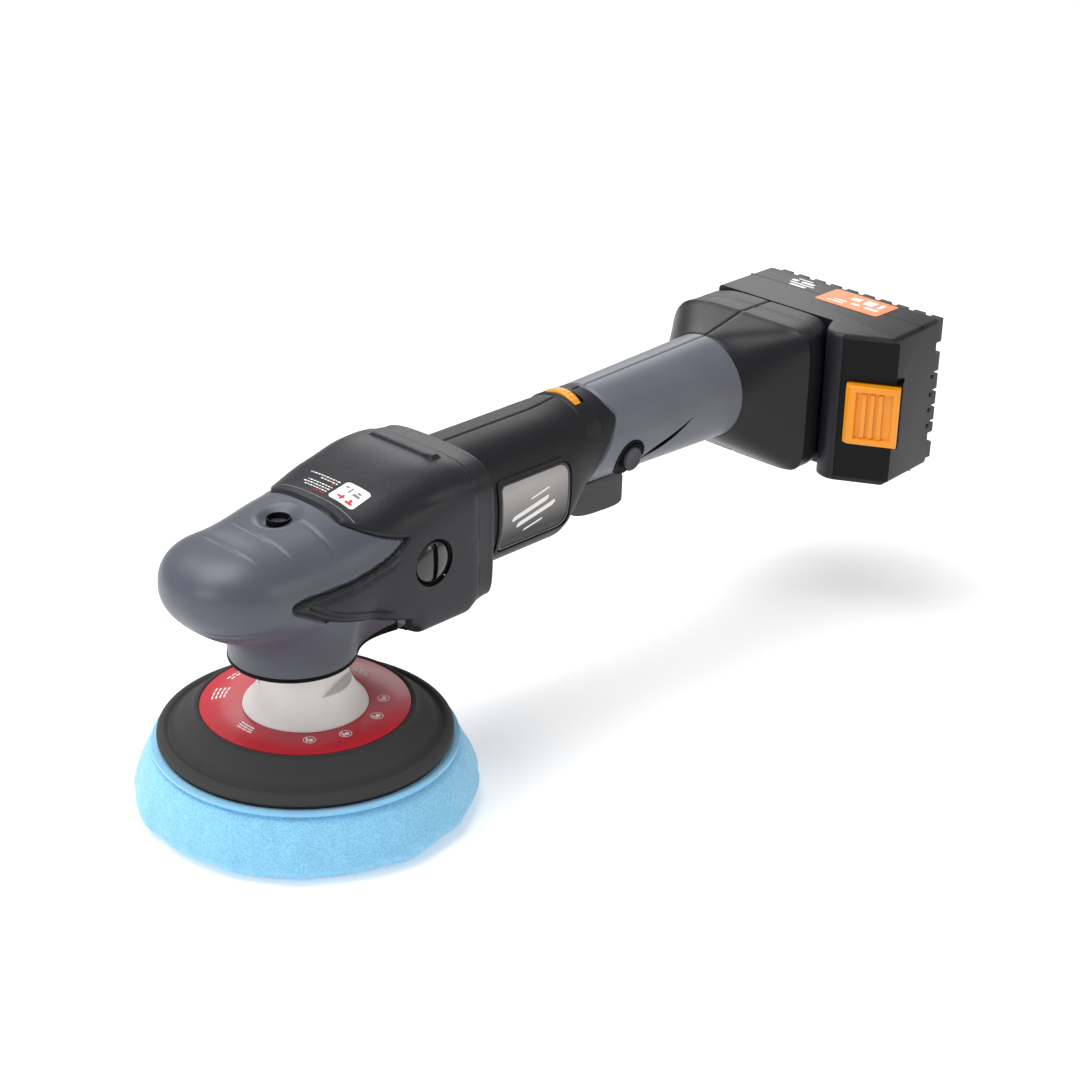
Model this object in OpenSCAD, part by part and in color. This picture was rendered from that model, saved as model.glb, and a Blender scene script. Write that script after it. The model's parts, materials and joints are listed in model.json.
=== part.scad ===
// Cordless dual action polisher with a side-sliding battery pack.
// Origin: on the drive spindle's axis, at the underside of the foam pad.
// +X runs from the head to the battery, +Z is up.

/* [Pad] */
// Widest diameter of the foam pad
pad_d = 150; // [140:1:154]
// Height of the foam
foam_h = 28; // [26:0.5:28]
// Diameter of the backing plate
plate_d = 127; // [120:1:129]
// Distance from the drive axis to the pad axis
orbit = 5; // [4:0.5:6]
// Direction of the pad axis from the drive axis, in degrees
orbit_angle = -40; // [-90:5:90]

/* [Gear head] */
// Height of the motor axis
motor_z = 109; // [108.5:0.5:109.5]
// Outer radius of the neck
neck_r = 27.3; // [27:0.1:28]
// Teeth on the bevel gear
gear_teeth = 36; // [36:12:36]
// Teeth on the bevel pinion
pinion_teeth = 12; // [12:1:12]

/* [Body] */
// Height of the rear barrel's axis
barrel_z = 119.6; // [119:0.1:120]
// Radius of the barrel where it meets the foot
barrel_r = 25.7; // [25.4:0.1:26]
// Wall thickness of the shells
wall = 2.2; // [2:0.1:2.4]
// Thickness of the soft grip
grip_t = 1.6; // [1.2:0.1:1.8]

/* [Battery] */
// Height of the pack
pack_h = 76; // [75:0.5:77]
// Height of the pack's underside
pack_z = 75; // [74.5:0.5:76]
// Radius of one cell
cell_r = 9.1; // [9:0.05:9.25]

/* [Hidden] */
$fn = 64;

// Heights of the pad's layers, from the floor up
loop_z = foam_h;
hook_z = loop_z + 1.5;
plate_z = hook_z + 1.5;
plate_top = plate_z + 14.2;
hub_top = plate_top + 20.8;
pad_x = orbit * cos(orbit_angle);
pad_y = orbit * sin(orbit_angle);
plate_r = plate_d / 2;
pad_r = pad_d / 2;

// Heights along the drive spindle
neck_z = 68.6;
carrier_z = 70;
carrier_h = 14.5;
flange_z = carrier_z + carrier_h;
lower_bearing_z = 87;
lower_bearing_h = 9;
gear_z = 96.5;
upper_bearing_z = 117;

// Stations along the motor
brush_x = 46;
can_x = 56;
can_end = 114;
can_r = 22;
fan_x = 118;
rear_bearing_x = 130;

// The body behind the head
cover_end = 84;
grip_x = 84;
deep_end = 150;
barrel_end = 262;
dial_x = 163;
dial_r = 15;
dial_z = 130;
lock_x = 186.5;
lock_z = 110.6;
pivot_x = 160.5;
pivot_z = 95.5;
trigger_w = 9.5;

// The foot and the pack
foot_x = 290;
foot_h = 74;
// Reach of the foot on the -Y side, on the +Y side at its top, and on the +Y side at mid height
foot_near = 42;
foot_shoulder = 31.5;
foot_far = 43.5;
// Height over which the +Y side rounds off
foot_round = 13;
joint_x = 312.5;
pack_end = 358.5;
pack_split = 338;
pack_top = pack_z + pack_h;
rail_z = 113;

clear = 0.4;
// Thickness of the slices that a loft is hulled between
slice_t = 0.3;
// Radial clearance of a shaft that turns in a bearing
run = 0.03;
eps = 0.01;

// ---------- helpers ----------

module at_pad(z = 0) {
    translate([pad_x, pad_y, z]) children();
}

module along_x(x, z, y = 0) {
    translate([x, y, z]) rotate([0, 90, 0]) children();
}

module along_y(x, y, z) {
    translate([x, y, z]) rotate([-90, 0, 0]) children();
}

module ring(r_out, r_in, h) {
    difference() {
        cylinder(r = r_out, h = h);
        translate([0, 0, -1]) cylinder(r = r_in, h = h + 2);
    }
}

// A ball bearing: two races with a shield set back between them
module bearing(r_in, r_out, h) {
    land = (r_out - r_in) * 0.28;
    difference() {
        ring(r_out, r_in, h);
        for (z = [-1, h - 0.5])
            translate([0, 0, z]) ring(r_out - land, r_in + land, 1.5);
    }
}

// A helical spring drawn as a stack of rings joined by a thin core wall
module spring(r, wire, h, turns) {
    ring(r - wire * 0.1, r - wire * 0.9, h);
    for (i = [0:turns - 1])
        translate([0, 0, wire / 2 + i * (h - wire) / (turns - 1)])
            rotate_extrude($fn = 24) translate([r - wire / 2, 0]) circle(d = wire, $fn = 13);
}

// A pan-head screw standing on its head's seat, pointing down
module screw(r, length, head_r, head_h) {
    difference() {
        cylinder(r = head_r, h = head_h, $fn = 24);
        translate([0, 0, head_h - 1.2]) cylinder(r = head_r * 0.5, h = 2, $fn = 6);
    }
    translate([0, 0, -length]) cylinder(r = r, h = length + eps, $fn = 24);
}

// Points of a rounded, upright oval in the YZ plane, with its own fullness above and below
function oval(half, low, high, upper, lower, n = 40) = [
    for (i = [0:n - 1])
        let (a = 360 * i / n, c = cos(a), s = sin(a), power = s < 0 ? lower : upper)
        [half * sign(c) * pow(abs(c), 2 / power),
         (low + high) / 2 + (high - low) / 2 * sign(s) * pow(abs(s), 2 / power)]];

// A thin slice across X whose outline is a rounded oval
module slice(x, half, low, high, upper, lower) {
    translate([x, 0, 0]) rotate([90, 0, 90])
        linear_extrude(slice_t) polygon(oval(half, low, high, upper, lower));
}

// Straight prism along X with the same oval outline
module oval_prism(x0, x1, half, low, high, power) {
    translate([x0, 0, 0]) rotate([90, 0, 90])
        linear_extrude(x1 - x0) polygon(oval(half, low, high, power, power));
}

function clamp01(t) = max(0, min(1, t));
function smooth(t) = let (c = clamp01(t)) c * c * (3 - 2 * c);

// ---------- head shells ----------

head_tip = -60;
head_end = cover_end;
head_mid = 112;
tip_len = 31;
head_steps = 18;
cover_proud = 0.8;

// How full the head is at x: 0 at the tip, 1 where the tip's rounding ends
function head_full(x) = let (t = clamp01((x - head_tip) / tip_len)) pow(1 - pow(1 - t, 2.2), 0.5);
function head_half(x) = head_full(x) * (31.6 + 4.4 * smooth((x + 34) / 44)) + 1.4 * smooth((x - 14) / 26)
    - 1.2 * smooth((x - 68) / 16);
function head_top(x) = head_mid + pow(head_full(x), 0.9) * (19.5 + 5 * smooth((x + 30) / 40)
    + 8 * smooth((x - 2) / 54)) - 1.6 * smooth((x - 64) / 20);
function head_low(x) = head_mid - pow(head_full(x), 1.25) * (23 + 9 * smooth((x + 40) / 34)
    + 3 * smooth((x - 20) / 22)) + 2 * smooth((x - 66) / 18);
function head_upper(x) = 2.5 + 0.9 * smooth((x - 4) / 30);
function head_lower(x) = 2.3 + 3.6 * smooth((x - 14) / 24);
function head_x(i) = let (t = i / head_steps)
    head_tip + (head_end - head_tip) * (0.35 * t * t + 0.65 * pow(t, 1.35));

// The head's solid, shrunk by g
module head_solid(g = 0) {
    for (i = [0:head_steps - 1])
        hull() {
            head_slice(head_x(i), g);
            head_slice(head_x(i + 1), g);
        }
}

module head_slice(x, g) {
    front = g * clamp01((head_tip + tip_len - x) / tip_len);
    back = g * clamp01((x - head_end + 12) / 12);
    slice(x + front - back, max(head_half(x) - g, 0.6), min(head_low(x) + g, head_mid - 0.6),
          max(head_top(x) - g, head_mid + 0.6), head_upper(x), head_lower(x));
}

// The neck below the nose
module neck_solid(g = 0) {
    hull() {
        translate([0, 0, neck_z + 2]) cylinder(r = neck_r - g, h = 8);
        translate([-2, 0, 90]) cylinder(r = 31 - g, h = 6);
    }
}

// The side outline that parts the black cover from the grey nose
module black_side() {
    translate([0, 60, 0]) rotate([90, 0, 0]) linear_extrude(120)
        polygon([[90, 160], [6, 160], [9, 134], [33, 124.5], [23, 117.5], [9, 114],
                 [-8, 112.5], [-25, 111.5], [-20, 106.5], [-8, 98], [8, 92],
                 [34, 85.5], [35, 78], [36, 60], [90, 60]]);
}

module head_cavity() {
    head_solid(wall);
    translate([0, 0, 60]) cylinder(r = neck_r - 3, h = 40);
    oval_prism(cover_end - 5, cover_end + 5, 26.7, 78.5, 141.2, 2.5);
}

module nose_cover() color("#5b5d66") difference() {
    union() {
        head_solid();
        neck_solid();
    }
    head_cavity();
    black_side();
    translate([-6, 0, 120]) cylinder(r = 5.2, h = 20, $fn = 32);
    translate([-6, 0, 132.4]) cylinder(r1 = 5.2, r2 = 11, h = 5, $fn = 32);
}

module front_cover() color("#2b2c30") difference() {
    intersection() {
        head_solid(-cover_proud);
        black_side();
    }
    head_cavity();
    for (s = [-1, 1])
        along_y(brush_x, s > 0 ? 30 : -45, motor_z) cylinder(r = 10.6, h = 15, $fn = 32);
}

// ---------- gear head ----------

module gear_housing() color("silver") difference() {
    union() {
        translate([0, 0, lower_bearing_z]) cylinder(r = 23, h = 10.5);
        translate([0, 0, 95]) cylinder(r = 27, h = 18);
        translate([0, 0, 110]) cylinder(r = 18, h = 16);
        along_x(10, motor_z) cylinder(r = 15.5, h = 26);
        along_x(32, motor_z) cylinder(r = 26, h = 3.5);
        translate([-6, 0, 122]) cylinder(r = 4.2, h = 7);
    }
    translate([0, 0, lower_bearing_z - 2]) cylinder(r = 16, h = lower_bearing_h + 2);
    translate([0, 0, 95.7]) cylinder(r = 23.6, h = 10.8);
    translate([0, 0, 106]) cylinder(r = 15, h = 9.5);
    translate([0, 0, 114]) cylinder(r = 8, h = 20);
    translate([0, 0, upper_bearing_z]) cylinder(r = 11, h = 7);
    translate([0, 0, upper_bearing_z + 6]) cylinder(r = 9, h = 1.6);
    along_x(5, motor_z) cylinder(r = 9.2, h = 20);
    along_x(24.9, motor_z) cylinder(r = 11, h = 20);
    for (a = [45:90:315])
        rotate(a) translate([19.4, 0, 80]) cylinder(r = 1.4, h = 9.4, $fn = 24);
}

// Teeth taper to the crossing point of the two axes
module bevel_teeth(count, pitch_r, depth, thick, tip, root, share) {
    for (i = [0:count - 1])
        rotate(i * 360 / count) polyhedron(
            points = [for (s = [1, share], e = [[tip, 0.55], [-root, 1]], w = [-1, 1])
                let (lift = e[0], k = e[1])
                s * [pitch_r + lift * depth[0], w * thick * k / 2, depth[1] + lift * depth[2]]],
            faces = [[0, 1, 3, 2], [4, 6, 7, 5], [0, 4, 5, 1],
                     [2, 3, 7, 6], [0, 2, 6, 4], [1, 5, 7, 3]]);
}

gear_pitch_r = 21;
pinion_pitch_r = gear_pitch_r * pinion_teeth / gear_teeth;
cone_len = norm([gear_pitch_r, pinion_pitch_r]);
face_share = 0.7;
tooth_pitch = 2 * PI * gear_pitch_r / gear_teeth;
gear_sin = gear_pitch_r / cone_len;
gear_cos = pinion_pitch_r / cone_len;

module bevel_gear() color("slategray") {
    difference() {
        union() {
            translate([0, 0, gear_z]) cylinder(r = 21.6, h = 4.1);
            translate([0, 0, gear_z + 4])
                cylinder(r1 = 21.5, r2 = 14.4, h = 3);
            translate([0, 0, gear_z]) cylinder(r = 10, h = 8.2);
        }
        translate([0, 0, gear_z - 1]) cylinder(r = 6, h = 12);
    }
    translate([0, 0, motor_z]) rotate(180 / gear_teeth)
        bevel_teeth(gear_teeth, gear_pitch_r, [gear_cos, -pinion_pitch_r, gear_sin],
                    tooth_pitch * 0.42, 0.7, 1.35, face_share);
}

module bevel_pinion() color("slategray") {
    along_x(0, motor_z) {
        difference() {
            union() {
                translate([0, 0, 14.3]) cylinder(r1 = 3.75, r2 = 5.9, h = 7.6);
                translate([0, 0, 21.8]) cylinder(r = 6.8, h = 2.8);
            }
            translate([0, 0, 10]) cylinder(r = 2.8, h = 20);
        }
        mirror([0, 0, 1])
            bevel_teeth(pinion_teeth, pinion_pitch_r, [gear_sin, -gear_pitch_r, gear_cos],
                        tooth_pitch * 0.42, 0.7, 1.35, face_share);
    }
}

module pinion_bearing() color("lightgray") along_x(25, motor_z) bearing(4 + run, 11, 7);
module motor_rear_bearing() color("lightgray") along_x(rear_bearing_x, motor_z) bearing(3.5 + run, 9.5, 6);
module spindle_upper_bearing() color("lightgray")
    translate([0, 0, upper_bearing_z]) bearing(4 + run, 11, 7);
module spindle_lower_bearing() color("lightgray")
    translate([0, 0, lower_bearing_z]) bearing(6 + run, 16, lower_bearing_h);

module bearing_retainer() color("darkgray") difference() {
    translate([0, 0, 84.9]) cylinder(r = 23, h = lower_bearing_z - 84.9);
    translate([0, 0, 84]) cylinder(r = 14.2, h = 4);
    for (a = [45:90:315])
        rotate(a) translate([19.4, 0, 80]) {
            cylinder(r = 1.6, h = 10, $fn = 24);
            cylinder(r = 2.7, h = 6.2, $fn = 24);
        }
}

module gearbox_screws() color("dimgray") {
    for (a = [45:90:315])
        rotate(a) translate([19.4, 0, 86.2]) mirror([0, 0, 1]) screw(1.4, 3, 2.5, 1.1);
}

module nose_screw() color("dimgray") difference() {
    translate([-6, 0, 129]) cylinder(r = 4, h = 2.4, $fn = 32);
    translate([-6, 0, 130.2]) cylinder(r = 2, h = 3, $fn = 6);
}

module neck_ring() color("#1c1c1f")
    translate([0, 0, neck_z]) difference() {
        cylinder(r = neck_r + 0.3, h = 2);
        translate([0, 0, -1]) cylinder(r = neck_r - 3, h = 4);
    }

module brush_caps() color("#202124") {
    for (s = [-1, 1])
        along_y(brush_x, s > 0 ? 33 : -38.8, motor_z) difference() {
            cylinder(r = 10.2, h = 5.8);
            translate([-1.4, -8, s > 0 ? 4.2 : -1]) cube([2.8, 16, 2.6]);
        }
}

// A thin sticker that follows the cover's top
module warning_label() color("whitesmoke") intersection() {
    difference() {
        head_solid(-cover_proud - 0.3);
        head_solid(-cover_proud);
    }
    translate([14, -22, 125]) cube([19, 41, 30]);
}

// ---------- motor ----------

module rotor_shaft() color("silver") along_x(12, motor_z) {
    translate([0, 0, 2.3]) cylinder(r = 2.8, h = 11);
    translate([0, 0, 12.6]) cylinder(r = 4, h = 105.2);
    translate([0, 0, 117.6]) cylinder(r = 3.5, h = 8.4);
}

module armature_core() color("dimgray") along_x(62, motor_z) difference() {
    cylinder(r = 15.6, h = 46);
    translate([0, 0, -1]) cylinder(r = 4, h = 48);
    for (i = [0:6]) rotate(i * 360 / 7) {
        translate([12, 0, -1]) cylinder(r = 2.5, h = 48, $fn = 24);
        translate([12, -0.8, -1]) cube([6, 1.6, 48]);
    }
}

module armature_winding() color("#b4632c") {
    for (x = [56.5, 108])
        along_x(x, motor_z) ring(13.4, 4, 5.5);
    for (i = [0:6])
        along_x(61.5, motor_z) rotate(i * 360 / 7)
            translate([12, 0, 0]) cylinder(r = 1.9, h = 47, $fn = 24);
}

module commutator() color("#c07a3c") along_x(brush_x - 5, motor_z) difference() {
    cylinder(r = 8.5, h = 12);
    translate([0, 0, -1]) cylinder(r = 4, h = 14);
    for (i = [0:13]) rotate(i * 360 / 14)
        translate([7.6, -0.25, -1]) cube([2, 0.5, 14]);
}

module cooling_fan() color("#3a3a3a") along_x(fan_x, motor_z) {
    difference() {
        union() {
            cylinder(r = 20, h = 1.6);
            cylinder(r = 7.5, h = 8);
        }
        translate([0, 0, -1]) cylinder(r = 4, h = 12);
    }
    for (i = [0:11]) rotate(i * 30)
        translate([7, -0.7, 1]) cube([12, 1.4, 6]);
}

module motor_can() color("#8d8f94") along_x(can_x, motor_z) difference() {
    cylinder(r = can_r, h = can_end - can_x + 2);
    translate([0, 0, -1]) cylinder(r = can_r - 2, h = can_end - can_x + 1);
    cylinder(r = 14.5, h = 80);
    for (i = [0:3]) rotate(45 + i * 90)
        translate([17.3, 0, 50]) cylinder(r = 2, h = 20, $fn = 24);
}

module field_magnets() color("#3b3b3f") along_x(can_x + 4, motor_z) difference() {
    ring(can_r - 2, 16.4, 50);
    for (a = [0, 180]) rotate(a) translate([-6, 14, -1]) cube([12, 10, 52]);
}

module brush_frame() color("#222222") {
    along_x(36, motor_z) difference() {
        union() {
            cylinder(r = 24, h = 2.4);
            ring(24, 21.4, 19.8);
            for (s = [-1, 1]) translate([-7, s > 0 ? 11 : -32.5, 4]) cube([14, 21.5, 12]);
        }
        translate([0, 0, -1]) cylinder(r = 12, h = 5);
        for (s = [-1, 1])
            translate([-5.2, s > 0 ? 10 : -34, 5.8]) cube([10.4, 24, 8.4]);
        translate([0, 0, 2.3]) cylinder(r = 11, h = 18);
    }
}

module carbon_brushes() color("#33353a") {
    for (s = [-1, 1])
        translate([brush_x - 4, s > 0 ? 8.7 : -25.7, motor_z - 5]) cube([8, 17, 10]);
}

// ---------- drive spindle ----------

module spindle_shaft() color("silver") {
    translate([0, 0, flange_z]) cylinder(r = 13, h = 2.4);
    translate([0, 0, flange_z + 2]) cylinder(r = 6, h = 18.5);
    translate([0, 0, flange_z + 20]) cylinder(r = 4, h = upper_bearing_z + 7 - flange_z - 20);
}

module eccentric_carrier() color("#77797e") difference() {
    union() {
        at_pad(carrier_z) cylinder(r = 14.5, h = carrier_h);
        translate([0, 0, carrier_z]) cylinder(r = 13, h = carrier_h);
        intersection() {
            translate([0, 0, carrier_z]) cylinder(r = 22.6, h = carrier_h);
            rotate(orbit_angle + 180) translate([2, -30, carrier_z]) cube([30, 60, carrier_h]);
        }
    }
    at_pad(carrier_z - 1) cylinder(r = 11, h = 14);
}

module pad_bearings() color("lightgray") at_pad() {
    for (z = [carrier_z + 0.5, carrier_z + 6.8])
        translate([0, 0, z]) bearing(5 + run, 11, 6);
}

// ---------- pad ----------

module pad_spindle() color("silver") at_pad() {
    translate([0, 0, plate_top + 4]) cylinder(r = 5, h = carrier_z + 12.6 - plate_top - 4);
    translate([0, 0, hub_top]) cylinder(r = 9, h = 1.6);
}

// The hub flares to the plate and has two flats for a spanner near its top
module pad_hub() color("#e8e6e0") at_pad() difference() {
    rotate_extrude() polygon([
        [0, plate_top], [27, plate_top], [26.4, plate_top + 1.4], [23.4, plate_top + 4.6],
        [20.6, plate_top + 9], [18.6, plate_top + 14], [17.8, hub_top - 1],
        [16.8, hub_top], [0, hub_top]]);
    translate([0, 0, plate_top + 4]) cylinder(r = 5, h = 30);
    translate([0, 0, plate_top - 1]) cylinder(r = 4, h = 8);
    for (a = [0, 180]) rotate(a + 30)
        translate([14.5, -20, hub_top - 7]) cube([10, 40, 12]);
}

module backing_plate() color("#1d1d20") at_pad() difference() {
    rotate_extrude() polygon([
        [0, plate_z], [plate_r, plate_z], [plate_r, plate_z + 3.2],
        [plate_r - 1.6, plate_z + 4.6], [plate_r - 3.8, plate_z + 4.8],
        [plate_r - 4.8, plate_z + 3.9], [plate_r - 6.2, plate_z + 4.4],
        [plate_r - 9, plate_z + 7.4], [plate_r - 13, plate_z + 9.8],
        [plate_r - 16.6, plate_z + 12.8], [46.6, plate_top],
        [45.2, plate_top], [45.2, plate_top - 0.5], [0, plate_top - 0.5]]);
    translate([0, 0, plate_z - 1]) cylinder(r = 8.6, h = 7);
    translate([0, 0, plate_z]) cylinder(r = 4, h = 20);
}

module label_ring() color("#b8222c") at_pad(plate_top - 0.5) ring(45, 27.2, 0.5);

module pad_bolt() color("dimgray") at_pad() difference() {
    union() {
        translate([0, 0, plate_z + 0.8]) cylinder(r = 7.4, h = 5.2);
        translate([0, 0, plate_z + 5]) cylinder(r = 4, h = plate_top + 4 - plate_z - 5);
    }
    translate([0, 0, plate_z]) cylinder(r = 3.4, h = 4, $fn = 6);
}

module hook_face() color("#141416") at_pad(hook_z) ring(plate_r - 1.2, 9, 1.5);
module pad_loop_layer() color("#5fb2dd") at_pad(loop_z) cylinder(r = pad_r - 9, h = 1.5);

module foam_pad() color("#6fc0ea") at_pad() rotate_extrude($fn = 96) polygon([
    [0, 0], [pad_r - 7, 0], [pad_r - 3.4, 1.4], [pad_r - 1, 4], [pad_r, 8],
    [pad_r - 0.8, 13], [pad_r - 3, 18.5], [pad_r - 6.2, 24], [pad_r - 8.6, foam_h],
    [0, foam_h]]);

// ---------- body shells ----------

function barrel_radius(x) = barrel_r - (barrel_end - x) * 0.0308;

// The barrel's cone between two stations, shrunk by g
module barrel(x0, x1, g) {
    along_x(x0, barrel_z) cylinder(r1 = barrel_radius(x0) - g, r2 = barrel_radius(x1) - g, h = x1 - x0);
}

module deep_body(x0, x1, g) {
    oval_prism(x0, x1, 26.2 - g, 79.2 + g, 140.6 - g, 2.5);
}

// The underside rises behind the deep part, ahead of the trigger
module deep_cut() {
    translate([0, 40, 0]) rotate([90, 0, 0]) linear_extrude(80)
        polygon([[145, 60], [145, 79], [163, 96.5], [163, 200], [240, 200], [240, 60]]);
}

module body_outer(g) {
    difference() {
        deep_body(66, 163, g);
        deep_cut();
        translate([deep_end + 2 - g, -40, barrel_z]) cube([60, 80, 40]);
    }
    barrel(deep_end - 6, barrel_end, g);
}

module body_inner() {
    difference() {
        deep_body(60, 152, grip_t + wall);
        translate([0, 0, -1]) deep_cut();
        translate([141, -40, barrel_z]) cube([60, 80, 40]);
    }
    barrel(134, barrel_end + 5, grip_t + wall);
    barrel(177, barrel_end + 5, wall);
}

// Side outline of the soft black grip, from x0 back
module grip_side(x0) {
    translate([0, 60, 0]) rotate([90, 0, 0]) linear_extrude(120)
        polygon([[x0, 60], [x0, 160], [175, 160], [175, 133.5], [165, 111],
                 [159, 98], [154, 89], [147, 60]]);
}

// Slots that the dial, trigger, lock button and vents need
module body_cuts(side) {
    along_x(dial_x - 3.1, dial_z) cylinder(r = dial_r + 0.5, h = 6.2);
    translate([153.4, -trigger_w - 0.6, 70]) cube([44.2, 2 * trigger_w + 1.2, 33]);
    if (side < 0)
        along_y(lock_x, -30, lock_z) cylinder(r = 7, h = 20);
    translate([194, side < 0 ? -40 : 10, 106]) vent_slot();
}

// A slanting vent, pointed at both ends
module vent_slot() {
    translate([0, 30, 0]) rotate([90, 0, 0]) linear_extrude(30)
        polygon([[0, 0], [14, 3.6], [26, 9.4], [34, 14.4], [20, 9], [8, 4.6]]);
}

// The half-space on one side of the tool's middle plane
module side_half(side) {
    translate([0, side < 0 ? -100 : 0, 0]) cube([400, 100, 220]);
}

module housing_half(side) {
    difference() {
        union() {
            difference() {
                union() {
                    intersection() {
                        body_outer(grip_t);
                        grip_side(50);
                    }
                    difference() {
                        body_outer(0);
                        grip_side(50);
                    }
                }
                body_inner();
            }
            intersection() {
                deep_body(rear_bearing_x - 1, rear_bearing_x + 7, grip_t + 0.4);
                translate([rear_bearing_x - 1, -40, 78]) cube([8, 80, 80]);
            }
        }
        along_x(rear_bearing_x - 5, motor_z) cylinder(r = 7, h = 20);
        along_x(rear_bearing_x, motor_z) cylinder(r = 9.5, h = 6);
        side_half(-side);
        body_cuts(side);
        along_y(pivot_x, -40, pivot_z) cylinder(r = 1.5, h = 80);
    }
}

module housing_left() color("#777a83") housing_half(-1);
module housing_right() color("#777a83") housing_half(1);

badge_x = 97;
badge_len = 45;

module badge_pocket(side, x, z, length, height, depth) {
    translate([x, side < 0 ? -30 : 30 - depth, z]) cube([length, depth, height]);
}

module grip_half(side) difference() {
    intersection() {
        difference() {
            body_outer(0);
            body_outer(grip_t);
        }
        grip_side(grip_x);
    }
    side_half(-side);
    body_cuts(side);
    badge_pocket(side, badge_x, 91, badge_len, 34, 8);
    along_y(pivot_x, -40, pivot_z) cylinder(r = 1.5, h = 80);
}

module grip_left() color("#232427") grip_half(-1);
module grip_right() color("#232427") grip_half(1);

// Name plates let into both sides of the grip
module badge_plates() color("#6c6f76") difference() {
    intersection() {
        union() {
            deep_body(badge_x + 0.3, badge_x + badge_len - 0.3, 0.3);
        }
        union() for (s = [-1, 1])
            badge_pocket(s, badge_x + 0.3, 91.3, badge_len - 0.6, 33.4, 8);
    }
    body_outer(grip_t);
}

// Screws that hold the two halves of the body and of the foot together
module housing_screws() color("dimgray") {
    for (x = [206, 246])
        along_y(x, -14.4, 128) {
            mirror([0, 0, 1]) screw(1.5, 24, 3, 2);
        }
}

// ---------- controls ----------

module switch_module() color("#2a2a2a") difference() {
    union() {
        translate([170, -8, 103.6]) cube([28, 16, 17]);
        translate([178, -3, 102.7]) cube([8, 6, 2]);
    }
    along_y(176, -20, 116) cylinder(r = 1.2, h = 40, $fn = 24);
}

module control_board() color("#1f5a3a") {
    translate([201, -15, 112]) cube([54, 30, 1.6]);
    for (i = [0:2])
        translate([206 + i * 12, -11, 113.5]) cube([8, 10, 4]);
    for (i = [0:1])
        translate([210 + i * 18, 7, 113.5]) cylinder(r = 4, h = 9);
    translate([244, -9, 113.5]) cube([8, 18, 7]);
}

module speed_sensor() color("#30323a") {
    along_x(dial_x + 3.4, dial_z) cylinder(r = 8, h = 4.6);
    along_x(dial_x - 4, dial_z) cylinder(r = 2.5, h = 8);
}

module speed_dial() color("#e8951c") along_x(dial_x - 2.5, dial_z) difference() {
    union() {
        cylinder(r = dial_r - 0.8, h = 5);
        for (i = [0:35]) rotate(i * 10)
            translate([dial_r - 1.2, -0.8, 0]) cube([1.2, 1.6, 5]);
    }
    translate([0, 0, -1]) cylinder(r = 2.55, h = 8);
}

module lock_button() color("#3a3c42") along_y(lock_x, -24.2, lock_z) {
    cylinder(r = 6.5, h = 9);
    translate([0, 0, 8.9]) cylinder(r = 2.4, h = 2.1);
}

module lock_spring() color("silver") along_y(lock_x, -15, lock_z) spring(4.2, 0.8, 6.9, 5);

module trigger_pin() color("silver")
    along_y(pivot_x, -trigger_w - 5, pivot_z) cylinder(r = 1.5, h = 2 * trigger_w + 10, $fn = 32);

module trigger() color("#34363b") difference() {
    translate([0, trigger_w, 0]) rotate([90, 0, 0]) linear_extrude(2 * trigger_w)
        polygon([[156.2, 97], [156.4, 92], [158.5, 87.5], [164, 83.4], [172, 81.2],
                 [182, 80.4], [190, 80.2], [195, 80.8], [196.6, 82.6], [196.8, 95],
                 [193, 98], [160, 98.4], [157.4, 98.2]]);
    along_y(pivot_x, -20, pivot_z) cylinder(r = 1.55, h = 40, $fn = 32);
    translate([170, -trigger_w + 2, 86]) cube([22, 2 * trigger_w - 4, 20]);
}

module trigger_spring() color("silver") translate([186, 0, 86.2]) spring(3.4, 0.7, 16.4, 7);

// ---------- foot ----------

module foot_outer(g) {
    hull() {
        along_x(barrel_end, barrel_z) cylinder(r = barrel_r - g, h = 2.6);
        translate([foot_x, -foot_near + g, pack_z + 2 + g])
            foot_block(joint_x - foot_x, foot_near + foot_shoulder - 2 * g, foot_h - 2 * g);
        translate([foot_x, -foot_near + g, pack_z + 2 + foot_round + g])
            foot_block(joint_x - foot_x, foot_near + foot_far - 2 * g, foot_h - 2 * foot_round - 2 * g);
    }
}

// The foot's block, with its near rear corner cut back for the pack
module foot_block(length, width, height) {
    linear_extrude(height)
        polygon([[1, 3], [4, 0], [length - 11.5, 0], [length, 4.6], [length, width - 3],
                 [length - 3, width], [5, width], [1, width - 5]]);
}

// The channel that the pack's rail slides in
module rail_channel(c) {
    translate([304 - c, -60, rail_z - 13 - c]) cube([4 + 2 * c, 80 + c, 26 + 2 * c]);
    translate([304, -60, rail_z - 9 - c]) cube([12, 80 + c, 18 + 2 * c]);
}

module foot_half(side) difference() {
    union() {
        difference() {
            foot_outer(0);
            foot_outer(wall);
        }
        intersection() {
            foot_outer(1);
            translate([300, -60, 60]) cube([20, 120, 100]);
        }
    }
    translate([250, -40, 60]) cube([barrel_end - 250, 80, 100]);
    along_x(barrel_end - 1, barrel_z) cylinder(r = barrel_r - wall, h = 6);
    rail_channel(clear);
    translate([303.6, 14, rail_z - 13.4]) cube([4.8, 16, 26.8]);
    side_half(-side);
}

module foot_left() color("#26272a") foot_half(-1);
module foot_right() color("#26272a") foot_half(1);

module terminal_block() color("#9a7b3a") {
    translate([303.8, 20.6, rail_z - 13]) cube([4.4, 9, 26]);
    for (i = [-1:1])
        translate([305.4, 10, rail_z + i * 7 - 0.5]) cube([1.6, 11, 1]);
}

// ---------- battery pack ----------

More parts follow.
